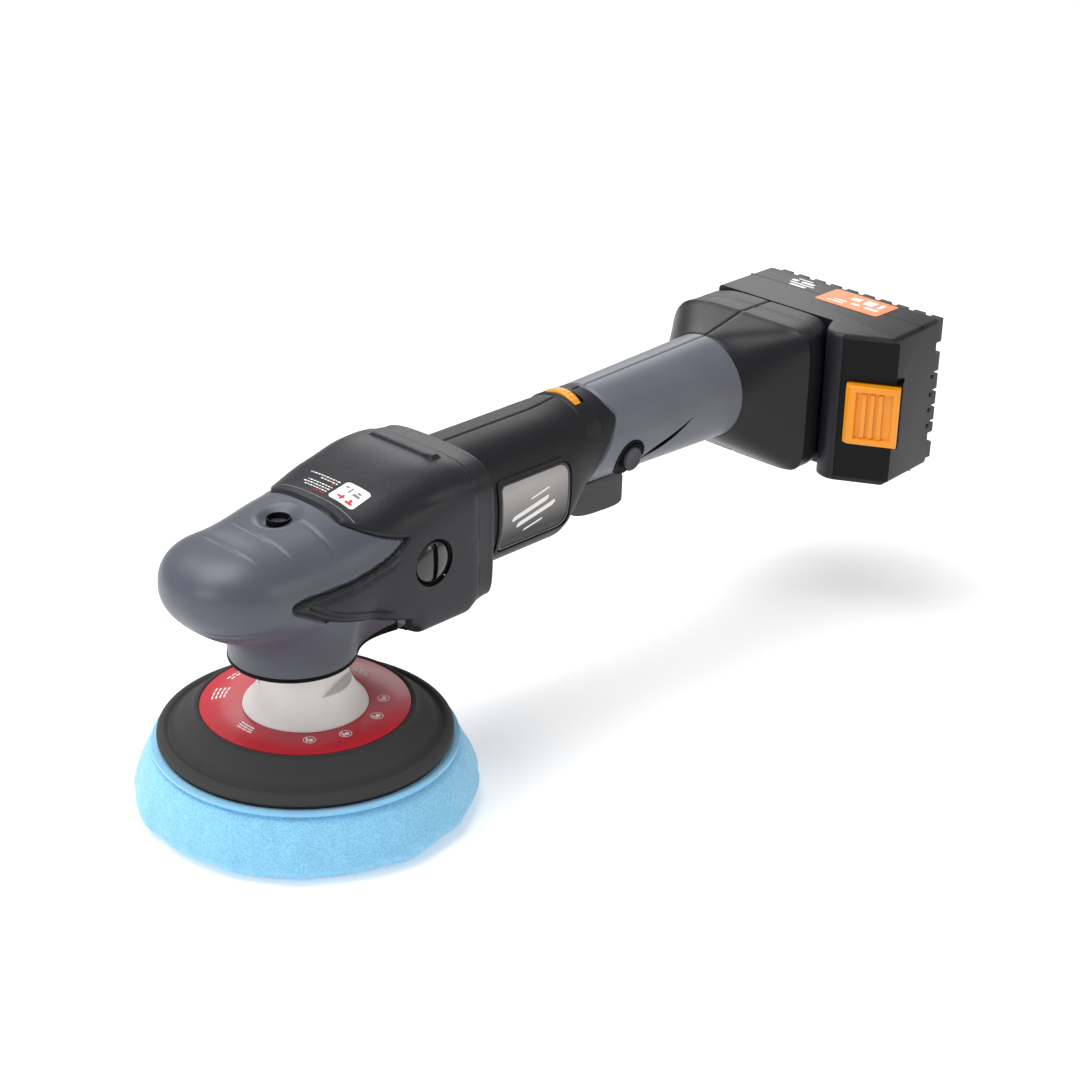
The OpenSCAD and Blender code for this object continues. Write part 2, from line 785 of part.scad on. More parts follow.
// Plan outline of the pack from the foot's side to its back
module pack_plan(g, x0, x1, far = 33.5) {
    intersection() {
        offset(delta = -g) polygon([
            [joint_x + 0.4, far], [joint_x + 0.4, -38], [301.6, -43], [298.4, -51],
            [312.5, -75.7], [351, -73.4], [356, -70.5], [pack_end, -66],
            [pack_end, far - 5], [pack_end - 4, far]]);
        translate([x0, -100]) square([x1 - x0, 200]);
    }
}

function release_dir() = [24.7, 14.1, 0] / norm([24.7, 14.1]);
release_mid = [307.7, -67.3, 0];

module at_release(depth = 0) {
    translate(release_mid + release_dir() * depth)
        rotate(atan2(release_dir()[1], release_dir()[0])) children();
}

module pack_shell(x0, x1, g0, g1) {
    difference() {
        union() {
            translate([0, 0, pack_z]) linear_extrude(pack_h) pack_plan(1.4, x0, x1);
            translate([0, 0, pack_z + 1.8]) linear_extrude(pack_h - 3.6) pack_plan(0, x0, x1);
        }
        translate([0, 0, pack_z + 2.4]) linear_extrude(pack_h - 4.8) pack_plan(2.2, g0, g1);
    }
}

module battery_case() color("#2a2b2e") difference() {
    union() {
        pack_shell(290, pack_split, 290, pack_split + 1);
        translate([304.2, -36, rail_z - 12.6]) cube([3.6, 55.6, 25.2]);
        translate([307, -36, rail_z - 8.6]) cube([6.5, 55.6, 17.2]);
        intersection() {
            translate([0, 0, 90]) linear_extrude(42) pack_plan(1, 290, 330);
            at_release(0) translate([0, -16, 80]) cube([11, 32, 60]);
        }
    }
    at_release(-6) translate([0, -13.6, 96.4]) cube([15.2, 27.2, 31.2]);
    for (i = [-1:1])
        translate([304.9, 8.6, rail_z + i * 7 - 1.2]) cube([2.6, 12, 2.4]);
    battery_screw_holes();
}

module battery_screw_holes() {
    for (y = [-64, 24], z = [pack_z + 7, pack_top - 7])
        along_x(pack_split - 14, z, y) cylinder(r = 1.25, h = 14.1, $fn = 24);
}

module battery_back() color("#232427") difference() {
    union() {
        pack_shell(pack_split, pack_end - 1.8, pack_split - 1, pack_end - 2);
        for (i = [0:9])
            translate([pack_end - 4, -66 + i * 10, pack_z + 3]) cube([4, 6.4, pack_h - 6]);
    }
}

module battery_cells() color("#3d7fb0")
    for (x = [325.6, 345.2], i = [0:4])
        translate([x, 22 - i * 19.2, pack_z + 5.5]) cylinder(r = cell_r, h = 65);

module battery_contacts() color("#c9a24a")
    for (i = [-1:1])
        translate([304.95, 8.7, rail_z + i * 7 - 1.15]) difference() {
            cube([2.5, 10.5, 2.3]);
            translate([-1, -1, 0.55]) cube([5, 13, 1.2]);
        }

module battery_label() color("#e2762a")
    translate([331, -50, pack_top]) cube([20, 38, 0.3]);

module release_button() color("#e8951c") at_release(-4) {
    translate([0, -13, 97]) cube([9, 26, 30]);
    for (i = [0:6])
        translate([-0.8, -9.5 + i * 3.2, 100]) cube([1, 1.6, 24]);
}

module release_spring() color("silver")
    at_release(5) translate([0.1, 0, 112]) rotate([0, 90, 0]) spring(4, 0.8, 3.9, 3);

nose_cover();
front_cover();
gear_housing();
neck_ring();
brush_caps();
motor_can();
field_magnets();
brush_frame();
carbon_brushes();
pinion_bearing();
motor_rear_bearing();
spindle_upper_bearing();
spindle_lower_bearing();
bearing_retainer();
gearbox_screws();
nose_screw();
housing_left();
housing_right();
grip_left();
grip_right();
badge_plates();
housing_screws();
switch_module();
control_board();
speed_sensor();
terminal_block();
foot_left();
foot_right();
warning_label();
trigger_pin();
trigger_spring();
lock_spring();
rotor_shaft();
bevel_pinion();
armature_core();
armature_winding();
commutator();
cooling_fan();
spindle_shaft();
bevel_gear();
eccentric_carrier();
pad_bearings();
pad_spindle();
pad_hub();
backing_plate();
label_ring();
pad_bolt();
hook_face();
pad_loop_layer();
foam_pad();
trigger();
lock_button();
speed_dial();
battery_case();
battery_back();
battery_cells();
battery_contacts();
battery_label();
release_button();
release_spring();
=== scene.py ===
"""Studio scene of a cordless dual action polisher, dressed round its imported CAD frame."""

import json
import logging
import math
from collections.abc import Callable, Iterator, Sequence
from contextlib import contextmanager
from dataclasses import dataclass, field
from enum import Enum

import bmesh
import bpy
import numpy as np
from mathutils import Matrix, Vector, noise

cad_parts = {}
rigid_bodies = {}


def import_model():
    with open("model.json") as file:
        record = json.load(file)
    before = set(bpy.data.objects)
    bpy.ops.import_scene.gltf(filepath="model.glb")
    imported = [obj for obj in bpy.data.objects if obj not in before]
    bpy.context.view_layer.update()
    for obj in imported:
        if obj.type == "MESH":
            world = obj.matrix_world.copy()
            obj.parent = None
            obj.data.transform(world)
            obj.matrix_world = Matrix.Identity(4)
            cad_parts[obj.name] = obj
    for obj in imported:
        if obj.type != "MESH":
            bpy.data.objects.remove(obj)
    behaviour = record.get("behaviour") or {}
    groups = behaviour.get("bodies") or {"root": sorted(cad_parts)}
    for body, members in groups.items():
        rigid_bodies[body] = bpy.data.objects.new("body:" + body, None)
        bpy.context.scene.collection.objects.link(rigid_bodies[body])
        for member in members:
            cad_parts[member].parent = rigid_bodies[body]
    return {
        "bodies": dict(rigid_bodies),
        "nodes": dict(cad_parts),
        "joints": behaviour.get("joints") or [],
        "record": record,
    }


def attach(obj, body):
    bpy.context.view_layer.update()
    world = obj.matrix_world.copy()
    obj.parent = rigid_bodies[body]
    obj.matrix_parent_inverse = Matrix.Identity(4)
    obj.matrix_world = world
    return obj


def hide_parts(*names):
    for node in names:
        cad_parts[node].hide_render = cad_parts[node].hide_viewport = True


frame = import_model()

LOG = logging.getLogger("polisher")
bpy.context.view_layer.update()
MM = 0.001
QUARTER = math.pi / 2
TURN = 2 * math.pi

Array = np.ndarray
Pair = tuple[float, float]
Triple = tuple[float, float, float]
Law = Callable[[Array, Array], tuple[Array, Array, Array]]
Thing = bpy.types.Object
Shader = bpy.types.ShaderNodeTree


def smooth(t: Array | float) -> Array | float:
    """Ease from 0 to 1 with level ends."""
    c = np.clip(t, 0, 1)
    return c * c * (3 - 2 * c)


def mix(a: Array | float, b: Array | float, t: Array | float) -> Array | float:
    """Blend from a to b."""
    return a + (b - a) * t


def hump(distance: Array, width: float) -> Array:
    """A soft bump, 1 at distance 0 and fading over the width."""
    return np.exp(-((distance / width) ** 2))


def run_through(points: Sequence[Pair], steps: int = 6) -> list[Pair]:
    """Draw a smooth open curve through points.

    Args:
        points: The points that the curve passes, in order.
        steps: How many pieces each span is cut into.

    Returns:
        The points of the curve, the first and last among them.
    """
    p = np.array([points[0], *points, points[-1]], float)
    out: list[Pair] = []
    for a, b, c, d in zip(p, p[1:], p[2:], p[3:]):
        for t in np.arange(steps) / steps:
            q = 0.5 * (2 * b + (c - a) * t + (2 * a - 5 * b + 4 * c - d) * t * t + (3 * b - a - 3 * c + d) * t ** 3)
            out.append((float(q[0]), float(q[1])))
    return [*out, tuple(points[-1])]


class Axis(Enum):
    """The way that a turned piece's axis points."""

    X = (0.0, QUARTER, 0.0)
    Y = (-QUARTER, 0.0, 0.0)
    Z = (0.0, 0.0, 0.0)


class Bench:
    """Hand steps of modelling, each a short run of Blender's own operators. Sizes are in millimetres."""

    @staticmethod
    def focus(thing: Thing | None = None) -> None:
        """Deselect everything, then select and activate one object, if there is one."""
        if bpy.context.object and bpy.context.object.mode != "OBJECT":
            bpy.ops.object.mode_set(mode="OBJECT")
        bpy.ops.object.select_all(action="DESELECT")
        if thing:
            thing.select_set(True)
            bpy.context.view_layer.objects.active = thing

    @staticmethod
    def adopt(name: str) -> Thing:
        """Name the primitive that was just added, and return it."""
        thing = bpy.context.active_object
        thing.name = thing.data.name = name
        return thing

    @staticmethod
    @contextmanager
    def editing(thing: Thing, kind: str = "FACE") -> Iterator[None]:
        """Work on one object in edit mode, starting with all of it selected.

        Args:
            thing: The object to edit.
            kind: VERT, EDGE or FACE.
        """
        Bench.focus(thing)
        bpy.ops.object.mode_set(mode="EDIT")
        bpy.ops.mesh.select_mode(type=kind)
        bpy.ops.mesh.select_all(action="SELECT")
        yield
        bpy.ops.object.mode_set(mode="OBJECT")

    @staticmethod
    def pick(thing: Thing, test: Callable[[Array, Array], bool], edges: bool = False) -> int:
        """Select the faces or edges that pass a test, while in edit mode.

        Args:
            thing: The object being edited.
            test: Takes a face's middle and normal, or an edge's middle and direction, in millimetres.
            edges: True to choose among edges.

        Returns:
            How many were selected.
        """
        bpy.ops.mesh.select_all(action="DESELECT")
        mesh = bmesh.from_edit_mesh(thing.data)
        chosen = 0
        for part in mesh.edges if edges else mesh.faces:
            if edges:
                a, b = (v.co for v in part.verts)
                middle, way = (a + b) / 2, (b - a).normalized()
            else:
                middle, way = part.calc_center_median(), part.normal
            if test(np.array(middle) / MM, np.array(way)):
                part.select_set(True)
                chosen += 1
        bmesh.update_edit_mesh(thing.data)
        return chosen

    @staticmethod
    def settle(thing: Thing) -> Thing:
        """Move an object's place, turn and scale into its mesh."""
        Bench.focus(thing)
        bpy.ops.object.transform_apply(location=True, rotation=True, scale=True)
        return thing

    @staticmethod
    def place(thing: Thing, at: Triple, turn: Triple = (0, 0, 0)) -> Thing:
        """Turn a piece about the origin, move it, and settle it there.

        Args:
            thing: The piece.
            at: Where its own origin goes.
            turn: Its turn as XYZ angles.

        Returns:
            The same piece.
        """
        thing.rotation_euler = turn
        thing.location = Vector(at) * MM
        return Bench.settle(thing)

    @staticmethod
    def block(name: str, low: Triple, high: Triple) -> Thing:
        """Start a piece from a box between two corners."""
        Bench.focus()
        a, b = Vector(low) * MM, Vector(high) * MM
        bpy.ops.mesh.primitive_cube_add(size=1, location=(a + b) / 2, scale=b - a)
        return Bench.settle(Bench.adopt(name))

    @staticmethod
    def close(thing: Thing, gap: float = 0.002) -> Thing:
        """Merge doubled points and turn all faces outwards."""
        with Bench.editing(thing, "VERT"):
            bpy.ops.mesh.remove_doubles(threshold=gap * MM)
            bpy.ops.mesh.dissolve_degenerate(threshold=gap * MM / 4)
            bpy.ops.mesh.select_all(action="SELECT")
            bpy.ops.mesh.normals_make_consistent(inside=False)
        return thing

    @staticmethod
    def lathe(name: str, profile: Sequence[Pair], at: Triple, axis: Axis = Axis.Z, steps: int = 96) -> Thing:
        """Spin a profile into a turned piece.

        Args:
            name: The piece's name.
            profile: Radius and height of each point, as a closed loop or from axis to axis.
            at: Where the profile's origin goes.
            axis: Which way the axis points.
            steps: Facets in the whole turn.

        Returns:
            The closed piece.
        """
        Bench.focus()
        bpy.ops.mesh.primitive_circle_add(vertices=len(profile), radius=MM, fill_type="NOTHING")
        thing = Bench.adopt(name)
        for point, (r, z) in zip(thing.data.vertices, profile):
            point.co = (r * MM, 0, z * MM)
        with Bench.editing(thing, "EDGE"):
            if Bench.pick(thing, lambda m, w: abs(m[0]) < 1e-4, edges=True):
                bpy.ops.mesh.delete(type="EDGE")
            bpy.ops.mesh.select_all(action="SELECT")
            bpy.ops.mesh.spin(steps=steps, angle=TURN, center=(0, 0, 0), axis=(0, 0, 1))
        return Bench.place(Bench.close(thing), at, axis.value)

    @staticmethod
    def plate(name: str, outline: Sequence[Pair], low: float, high: float) -> Thing:
        """Fill an outline in plan and extrude it upwards."""
        Bench.focus()
        bpy.ops.mesh.primitive_circle_add(vertices=len(outline), radius=MM, fill_type="NGON")
        thing = Bench.adopt(name)
        for point, (x, y) in zip(thing.data.vertices, outline):
            point.co = (x * MM, y * MM, low * MM)
        with Bench.editing(thing):
            rise = {"value": (0, 0, (high - low) * MM)}
            bpy.ops.mesh.extrude_region_move(TRANSFORM_OT_translate=rise)
        return Bench.close(thing)

    @staticmethod
    def side_plate(name: str, outline: Sequence[Pair], near: float, far: float) -> Thing:
        """Fill an outline drawn in X and Z, and extrude it from near to far along Y."""
        thing = Bench.plate(name, outline, near, far)
        return Bench.close(Bench.place(thing, (0, near + far, 0), (QUARTER, 0, 0)))

    @staticmethod
    def skin(name: str, along: int, around: int, law: Law, inside: Triple) -> Thing:
        """Pull a flat grid to a curved surface, and close it where its edges meet.

        Args:
            name: The piece's name.
            along: Cells along the first direction.
            around: Cells along the second direction.
            law: Takes both directions from 0 to 1 and gives the surface's X, Y and Z.
            inside: A point on the side that the faces point away from.

        Returns:
            The surface, facing away from the inside point.
        """
        Bench.focus()
        bpy.ops.mesh.primitive_grid_add(x_subdivisions=along, y_subdivisions=around, size=1)
        thing = Bench.adopt(name)
        co = np.zeros(len(thing.data.vertices) * 3)
        thing.data.vertices.foreach_get("co", co)
        co = co.reshape(-1, 3) + 0.5
        surface = np.stack(law(np.clip(co[:, 0], 0, 1), np.clip(co[:, 1], 0, 1)), 1) * MM
        thing.data.vertices.foreach_set("co", surface.ravel())
        with Bench.editing(thing, "VERT"):
            bpy.ops.mesh.remove_doubles(threshold=0.002 * MM)
        Bench.face_out(thing, inside)
        return thing

    @staticmethod
    def face_out(thing: Thing, inside: Triple) -> None:
        """Flip an open surface if it faces the inside point."""
        count = len(thing.data.polygons)
        normal, middle, area = np.zeros(count * 3), np.zeros(count * 3), np.zeros(count)
        thing.data.polygons.foreach_get("normal", normal)
        thing.data.polygons.foreach_get("center", middle)
        thing.data.polygons.foreach_get("area", area)
        away = middle.reshape(-1, 3) - np.array(inside) * MM
        if ((normal.reshape(-1, 3) * away).sum(1) * area).sum() < 0:
            with Bench.editing(thing):
                bpy.ops.mesh.flip_normals()

    @staticmethod
    def modify(thing: Thing, kind: str, **settings: object) -> Thing:
        """Add one modifier with its settings and apply it."""
        Bench.focus(thing)
        modifier = thing.modifiers.new(kind.title(), kind)
        for key, value in settings.items():
            setattr(modifier, key, value)
        bpy.ops.object.modifier_apply(modifier=modifier.name)
        return thing

    @staticmethod
    def thicken(thing: Thing, wall: float) -> Thing:
        """Give a surface a wall on its inner side."""
        return Bench.modify(thing, "SOLIDIFY", thickness=wall * MM, offset=-1, use_even_offset=True,
                            thickness_clamp=1.2)

    @staticmethod
    def cut(thing: Thing, *tools: Thing) -> Thing:
        """Cut the tools out of a piece, and throw the tools away."""
        for tool in tools:
            Bench.modify(thing, "BOOLEAN", operation="DIFFERENCE", solver="EXACT", object=tool)
            bpy.data.objects.remove(tool)
        return thing

    @staticmethod
    def keep(thing: Thing, tool: Thing) -> Thing:
        """Keep only what lies inside the tool, and throw the tool away."""
        Bench.modify(thing, "BOOLEAN", operation="INTERSECT", solver="EXACT", object=tool)
        bpy.data.objects.remove(tool)
        return thing

    @staticmethod
    def ease(thing: Thing, width: float, steps: int = 2, angle: float = 30) -> Thing:
        """Round every edge that is sharper than an angle in degrees."""
        return Bench.modify(thing, "BEVEL", width=width * MM, segments=steps, limit_method="ANGLE",
                            angle_limit=math.radians(angle), miter_outer="MITER_ARC")

    @staticmethod
    def ease_some(thing: Thing, width: float, steps: int, test: Callable[[Array, Array], bool]) -> Thing:
        """Round the edges whose middle and direction pass a test."""
        with Bench.editing(thing, "EDGE"):
            if Bench.pick(thing, test, edges=True):
                bpy.ops.mesh.bevel(offset=width * MM, segments=steps, affect="EDGES", clamp_overlap=True)
        return thing

    @staticmethod
    def polish(thing: Thing, angle: float = 32) -> Thing:
        """Shade smooth, with edges sharper than the angle left crisp."""
        Bench.focus(thing)
        bpy.ops.object.shade_smooth_by_angle(angle=math.radians(angle))
        return thing

    @staticmethod
    def twin(thing: Thing, name: str, at: Triple = (0, 0, 0), turn: Triple = (0, 0, 0),
             flip: bool = False) -> Thing:
        """Copy a piece with its own mesh, then turn, move and perhaps mirror the copy across the tool's middle."""
        other = thing.copy()
        other.data = thing.data.copy()
        other.name = other.data.name = name
        bpy.context.scene.collection.objects.link(other)
        Bench.place(other, at, turn)
        if flip:
            other.scale = (1, -1, 1)
            Bench.settle(other)
            with Bench.editing(other):
                bpy.ops.mesh.normals_make_consistent(inside=False)
        return other

    @staticmethod
    def join(name: str, things: Sequence[Thing]) -> Thing:
        """Join several pieces into one."""
        Bench.focus(things[0])
        for thing in things[1:]:
            thing.select_set(True)
        bpy.ops.object.join()
        return Bench.adopt(name)

    @staticmethod
    def shift_points(thing: Thing, law: Callable[[Array], Array]) -> Thing:
        """Move every point of a mesh by a law that takes and gives millimetres."""
        co = np.zeros(len(thing.data.vertices) * 3)
        thing.data.vertices.foreach_get("co", co)
        moved = law(co.reshape(-1, 3) / MM) * MM
        thing.data.vertices.foreach_set("co", moved.ravel())
        thing.data.update()
        return thing

    @staticmethod
    def fit(thing: Thing, finish: "Finish", body: str, slot: str, replaces: Sequence[str] = ()) -> Thing:
        """Dress a finished piece and fix it to its body.

        Args:
            thing: The piece.
            finish: What it is made of.
            body: The moving body that carries it.
            slot: The record's material slot, not used.
            replaces: The CAD nodes that it stands for.

        Returns:
            The same piece.
        """
        thing.data.materials.clear()
        thing.data.materials.append(finish.material())
        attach(thing, body)
        if replaces:
            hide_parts(*replaces)
        LOG.info("%s: %d faces on %s", thing.name, len(thing.data.polygons), body)
        return thing


class Grain(Enum):
    """The fine relief that a surface was given when it was made."""

    SPARK = "spark"
    SATIN = "satin"
    RUBBER = "rubber"
    FOAM = "foam"
    FUZZ = "fuzz"
    TURNED = "turned"
    FLAT = "flat"


class Effects:
    """Node groups that the finishes share. Each is built once."""

    @staticmethod
    def _new(name: str, takes: Sequence[tuple[str, str]],
             gives: Sequence[tuple[str, str]]) -> tuple[Shader, dict]:
        """Make an empty group with its sockets, and return it with its input and output nodes."""
        tree = bpy.data.node_groups.new(name, "ShaderNodeTree")
        for title, kind in takes:
            tree.interface.new_socket(title, in_out="INPUT", socket_type=kind)
        for title, kind in gives:
            tree.interface.new_socket(title, in_out="OUTPUT", socket_type=kind)
        ends = {"in": tree.nodes.new("NodeGroupInput"), "out": tree.nodes.new("NodeGroupOutput")}
        return tree, ends

    @staticmethod
    def relief(kind: Grain) -> Shader:
        """Fine relief of one kind: takes Vector and Scale, gives Height and Pit."""
        name = f"relief_{kind.value}"
        if name in bpy.data.node_groups:
            return bpy.data.node_groups[name]
        tree, ends = Effects._new(name, [("Vector", "NodeSocketVector"), ("Scale", "NodeSocketFloat")],
                                  [("Height", "NodeSocketFloat"), ("Pit", "NodeSocketFloat")])
        link = tree.links.new
        coarse = tree.nodes.new("ShaderNodeTexNoise")
        coarse.inputs["Detail"].default_value = {Grain.FUZZ: 8, Grain.FOAM: 5}.get(kind, 3)
        coarse.inputs["Roughness"].default_value = 0.55
        stretch = tree.nodes.new("ShaderNodeMapping")
        stretch.inputs["Scale"].default_value = {Grain.TURNED: (0.04, 1, 1),
                                                 Grain.FUZZ: (1, 1, 0.3)}.get(kind, (1, 1, 1))
        cells = tree.nodes.new("ShaderNodeTexVoronoi")
        cells.feature = "F1" if kind in (Grain.FOAM, Grain.FUZZ) else "SMOOTH_F1"
        pit = tree.nodes.new("ShaderNodeMapRange")
        pit.inputs["From Min"].default_value = 0.1
        pit.inputs["From Max"].default_value = 0.62
        blend = tree.nodes.new("ShaderNodeMix")
        blend.inputs["Factor"].default_value = {Grain.FOAM: 0.65, Grain.SPARK: 0.5,
                                                Grain.FUZZ: 0.5}.get(kind, 0.2)
        link(ends["in"].outputs["Vector"], stretch.inputs["Vector"])
        for texture in (coarse, cells):
            link(stretch.outputs["Vector"], texture.inputs["Vector"])
            link(ends["in"].outputs["Scale"], texture.inputs["Scale"])
        link(cells.outputs["Distance"], pit.inputs["Value"])
        link(coarse.outputs["Fac"], blend.inputs["A"])
        link(pit.outputs["Result"], blend.inputs["B"])
        link(blend.outputs["Result"], ends["out"].inputs["Height"])
        link(pit.outputs["Result"], ends["out"].inputs["Pit"])
        return tree

    @staticmethod
    def tone() -> Shader:
        """Uneven colour and rubbed edges: takes Vector, Base, Shade, Rubbed, Scale and Rub, gives Color and Wear."""
        if "tone" in bpy.data.node_groups:
            return bpy.data.node_groups["tone"]
        tree, ends = Effects._new(
            "tone",
            [("Vector", "NodeSocketVector"), ("Base", "NodeSocketColor"), ("Shade", "NodeSocketColor"),
                     ("Rubbed", "NodeSocketColor"), ("Scale", "NodeSocketFloat"), ("Rub", "NodeSocketFloat")],
            [("Color", "NodeSocketColor"), ("Wear", "NodeSocketFloat")])
        link = tree.links.new
        cloud = tree.nodes.new("ShaderNodeTexNoise")
        cloud.inputs["Detail"].default_value = 4
        sharpen = tree.nodes.new("ShaderNodeMapRange")
        sharpen.inputs["From Min"].default_value = 0.3
        sharpen.inputs["From Max"].default_value = 0.7
        uneven = tree.nodes.new("ShaderNodeMix")
        uneven.data_type = "RGBA"
        edge = tree.nodes.new("ShaderNodeNewGeometry")
        sharp_edge = tree.nodes.new("ShaderNodeMapRange")
        sharp_edge.inputs["From Min"].default_value = 0.53
        sharp_edge.inputs["From Max"].default_value = 0.64
        amount = tree.nodes.new("ShaderNodeMath")
        amount.operation = "MULTIPLY"
        broken = tree.nodes.new("ShaderNodeMath")
        broken.operation = "MULTIPLY"
        worn = tree.nodes.new("ShaderNodeMix")
        worn.data_type = "RGBA"
        link(ends["in"].outputs["Vector"], cloud.inputs["Vector"])
        link(ends["in"].outputs["Scale"], cloud.inputs["Scale"])
        link(cloud.outputs["Fac"], sharpen.inputs["Value"])
        link(sharpen.outputs["Result"], uneven.inputs["Factor"])
        link(ends["in"].outputs["Base"], uneven.inputs["A"])
        link(ends["in"].outputs["Shade"], uneven.inputs["B"])
        link(edge.outputs["Pointiness"], sharp_edge.inputs["Value"])
        link(sharp_edge.outputs["Result"], amount.inputs[0])
        link(ends["in"].outputs["Rub"], amount.inputs[1])
        link(amount.outputs["Value"], broken.inputs[0])
        link(sharpen.outputs["Result"], broken.inputs[1])
        link(broken.outputs["Value"], worn.inputs["Factor"])
        link(uneven.outputs["Result"], worn.inputs["A"])
        link(ends["in"].outputs["Rubbed"], worn.inputs["B"])
        link(worn.outputs["Result"], ends["out"].inputs["Color"])
        link(broken.outputs["Value"], ends["out"].inputs["Wear"])
        return tree


def shade_of(colour: str, gain: float = 1.0) -> tuple[float, float, float, float]:
    """Turn a six digit colour into linear light, brightened or darkened by a gain."""
    parts = [int(colour[i:i + 2], 16) / 255 for i in (0, 2, 4)]
    linear = [c / 12.92 if c <= 0.04045 else ((c + 0.055) / 1.055) ** 2.4 for c in parts]
    return (*(min(1.0, c * gain) for c in linear), 1.0)


@dataclass(frozen=True)
class Finish:
    """What a surface is made of and how it was finished, with the shade that is painted on some of them."""

    name: str
    colour: str
    rough: float
    grain: Grain = Grain.SATIN
    scale: float = 1500.0
    depth: float = 0.05
    uneven: float = 0.12
    rub: float = 0.0
    metal: float = 0.0
    coat: float = 0.0
    sheen: float = 0.0
    specular: float = 0.5
    # How much the pits darken: painted shade in a porous surface's pores.
    pit_shade: float = 0.0
    # A fade to a second colour between two heights: painted shade.
    fade: tuple[str, float, float] | None = None

    def material(self) -> bpy.types.Material:
        """Build the material, or return it if it is there already."""
        if self.name in bpy.data.materials:
            return bpy.data.materials[self.name]
        made = bpy.data.materials.new(self.name)
        made.use_nodes = True
        tree = made.node_tree
        tree.nodes.clear()
        link = tree.links.new
        place = tree.nodes.new("ShaderNodeTexCoord").outputs["Object"]
        tone = self._group(tree, Effects.tone(), place)
        tone.inputs["Base"].default_value = shade_of(self.colour)
        tone.inputs["Shade"].default_value = shade_of(self.colour, 1 - self.uneven)
        tone.inputs["Rubbed"].default_value = shade_of(self.colour, 1.9)
        tone.inputs["Scale"].default_value = 40 if self.grain is not Grain.FOAM else 160
        tone.inputs["Rub"].default_value = self.rub
        relief = self._group(tree, Effects.relief(self.grain), place)
        relief.inputs["Scale"].default_value = self.scale
        shader = tree.nodes.new("ShaderNodeBsdfPrincipled")
        output = tree.nodes.new("ShaderNodeOutputMaterial")
        link(shader.outputs["BSDF"], output.inputs["Surface"])
        colour = self._shade_fade(tree, place, tone.outputs["Color"])
        if self.pit_shade:
            colour = self._shade_pits(tree, relief.outputs["Pit"], colour)
        link(colour, shader.inputs["Base Color"])
        rough = tree.nodes.new("ShaderNodeMapRange")
        rough.inputs["To Min"].default_value = max(0.04, self.rough - 0.07)
        rough.inputs["To Max"].default_value = min(1.0, self.rough + 0.07)
        link(relief.outputs["Height"], rough.inputs["Value"])
        link(rough.outputs["Result"], shader.inputs["Roughness"])
        bump = tree.nodes.new("ShaderNodeBump")
        bump.inputs["Strength"].default_value = 0.6
        bump.inputs["Distance"].default_value = self.depth * MM
        link(relief.outputs["Height"], bump.inputs["Height"])
        link(bump.outputs["Normal"], shader.inputs["Normal"])
        shader.inputs["Metallic"].default_value = self.metal
        shader.inputs["Specular IOR Level"].default_value = self.specular
        shader.inputs["Coat Weight"].default_value = self.coat
        shader.inputs["Coat Roughness"].default_value = 0.12
        shader.inputs["Sheen Weight"].default_value = self.sheen
        return made

    @staticmethod
    def _group(tree: Shader, group: Shader, place: bpy.types.NodeSocket) -> bpy.types.Node:
        """Put a shared effect into a material and give it the object's own coordinates."""
        node = tree.nodes.new("ShaderNodeGroup")
        node.node_tree = group
        tree.links.new(place, node.inputs["Vector"])
        return node

    def _shade_fade(self, tree: Shader, place: bpy.types.NodeSocket,
               colour: bpy.types.NodeSocket) -> bpy.types.NodeSocket:
        """Fade the colour to a second one between two heights, where the finish has such a fade: painted shade and
        reflection that darken a piece towards one end.
        """
        if not self.fade:
            return colour
        second, low, high = self.fade
        parts = tree.nodes.new("ShaderNodeSeparateXYZ")
        height = tree.nodes.new("ShaderNodeMapRange")
        height.inputs["From Min"].default_value = low * MM
        height.inputs["From Max"].default_value = high * MM
        blend = tree.nodes.new("ShaderNodeMix")
        blend.data_type = "RGBA"
        blend.inputs["B"].default_value = shade_of(second)
        tree.links.new(place, parts.inputs["Vector"])
        tree.links.new(parts.outputs["Z"], height.inputs["Value"])
        tree.links.new(height.outputs["Result"], blend.inputs["Factor"])
        tree.links.new(colour, blend.inputs["A"])
        return blend.outputs["Result"]

    def _shade_pits(self, tree: Shader, pit: bpy.types.NodeSocket,
                  colour: bpy.types.NodeSocket) -> bpy.types.NodeSocket:
        """Darken the pits of a porous surface, as painted shade in its pores."""
        blend = tree.nodes.new("ShaderNodeMix")
        blend.data_type = "RGBA"
        blend.inputs["A"].default_value = shade_of(self.colour, 1 - self.pit_shade)
        tree.links.new(pit, blend.inputs["Factor"])
        tree.links.new(colour, blend.inputs["B"])
        return blend.outputs["Result"]


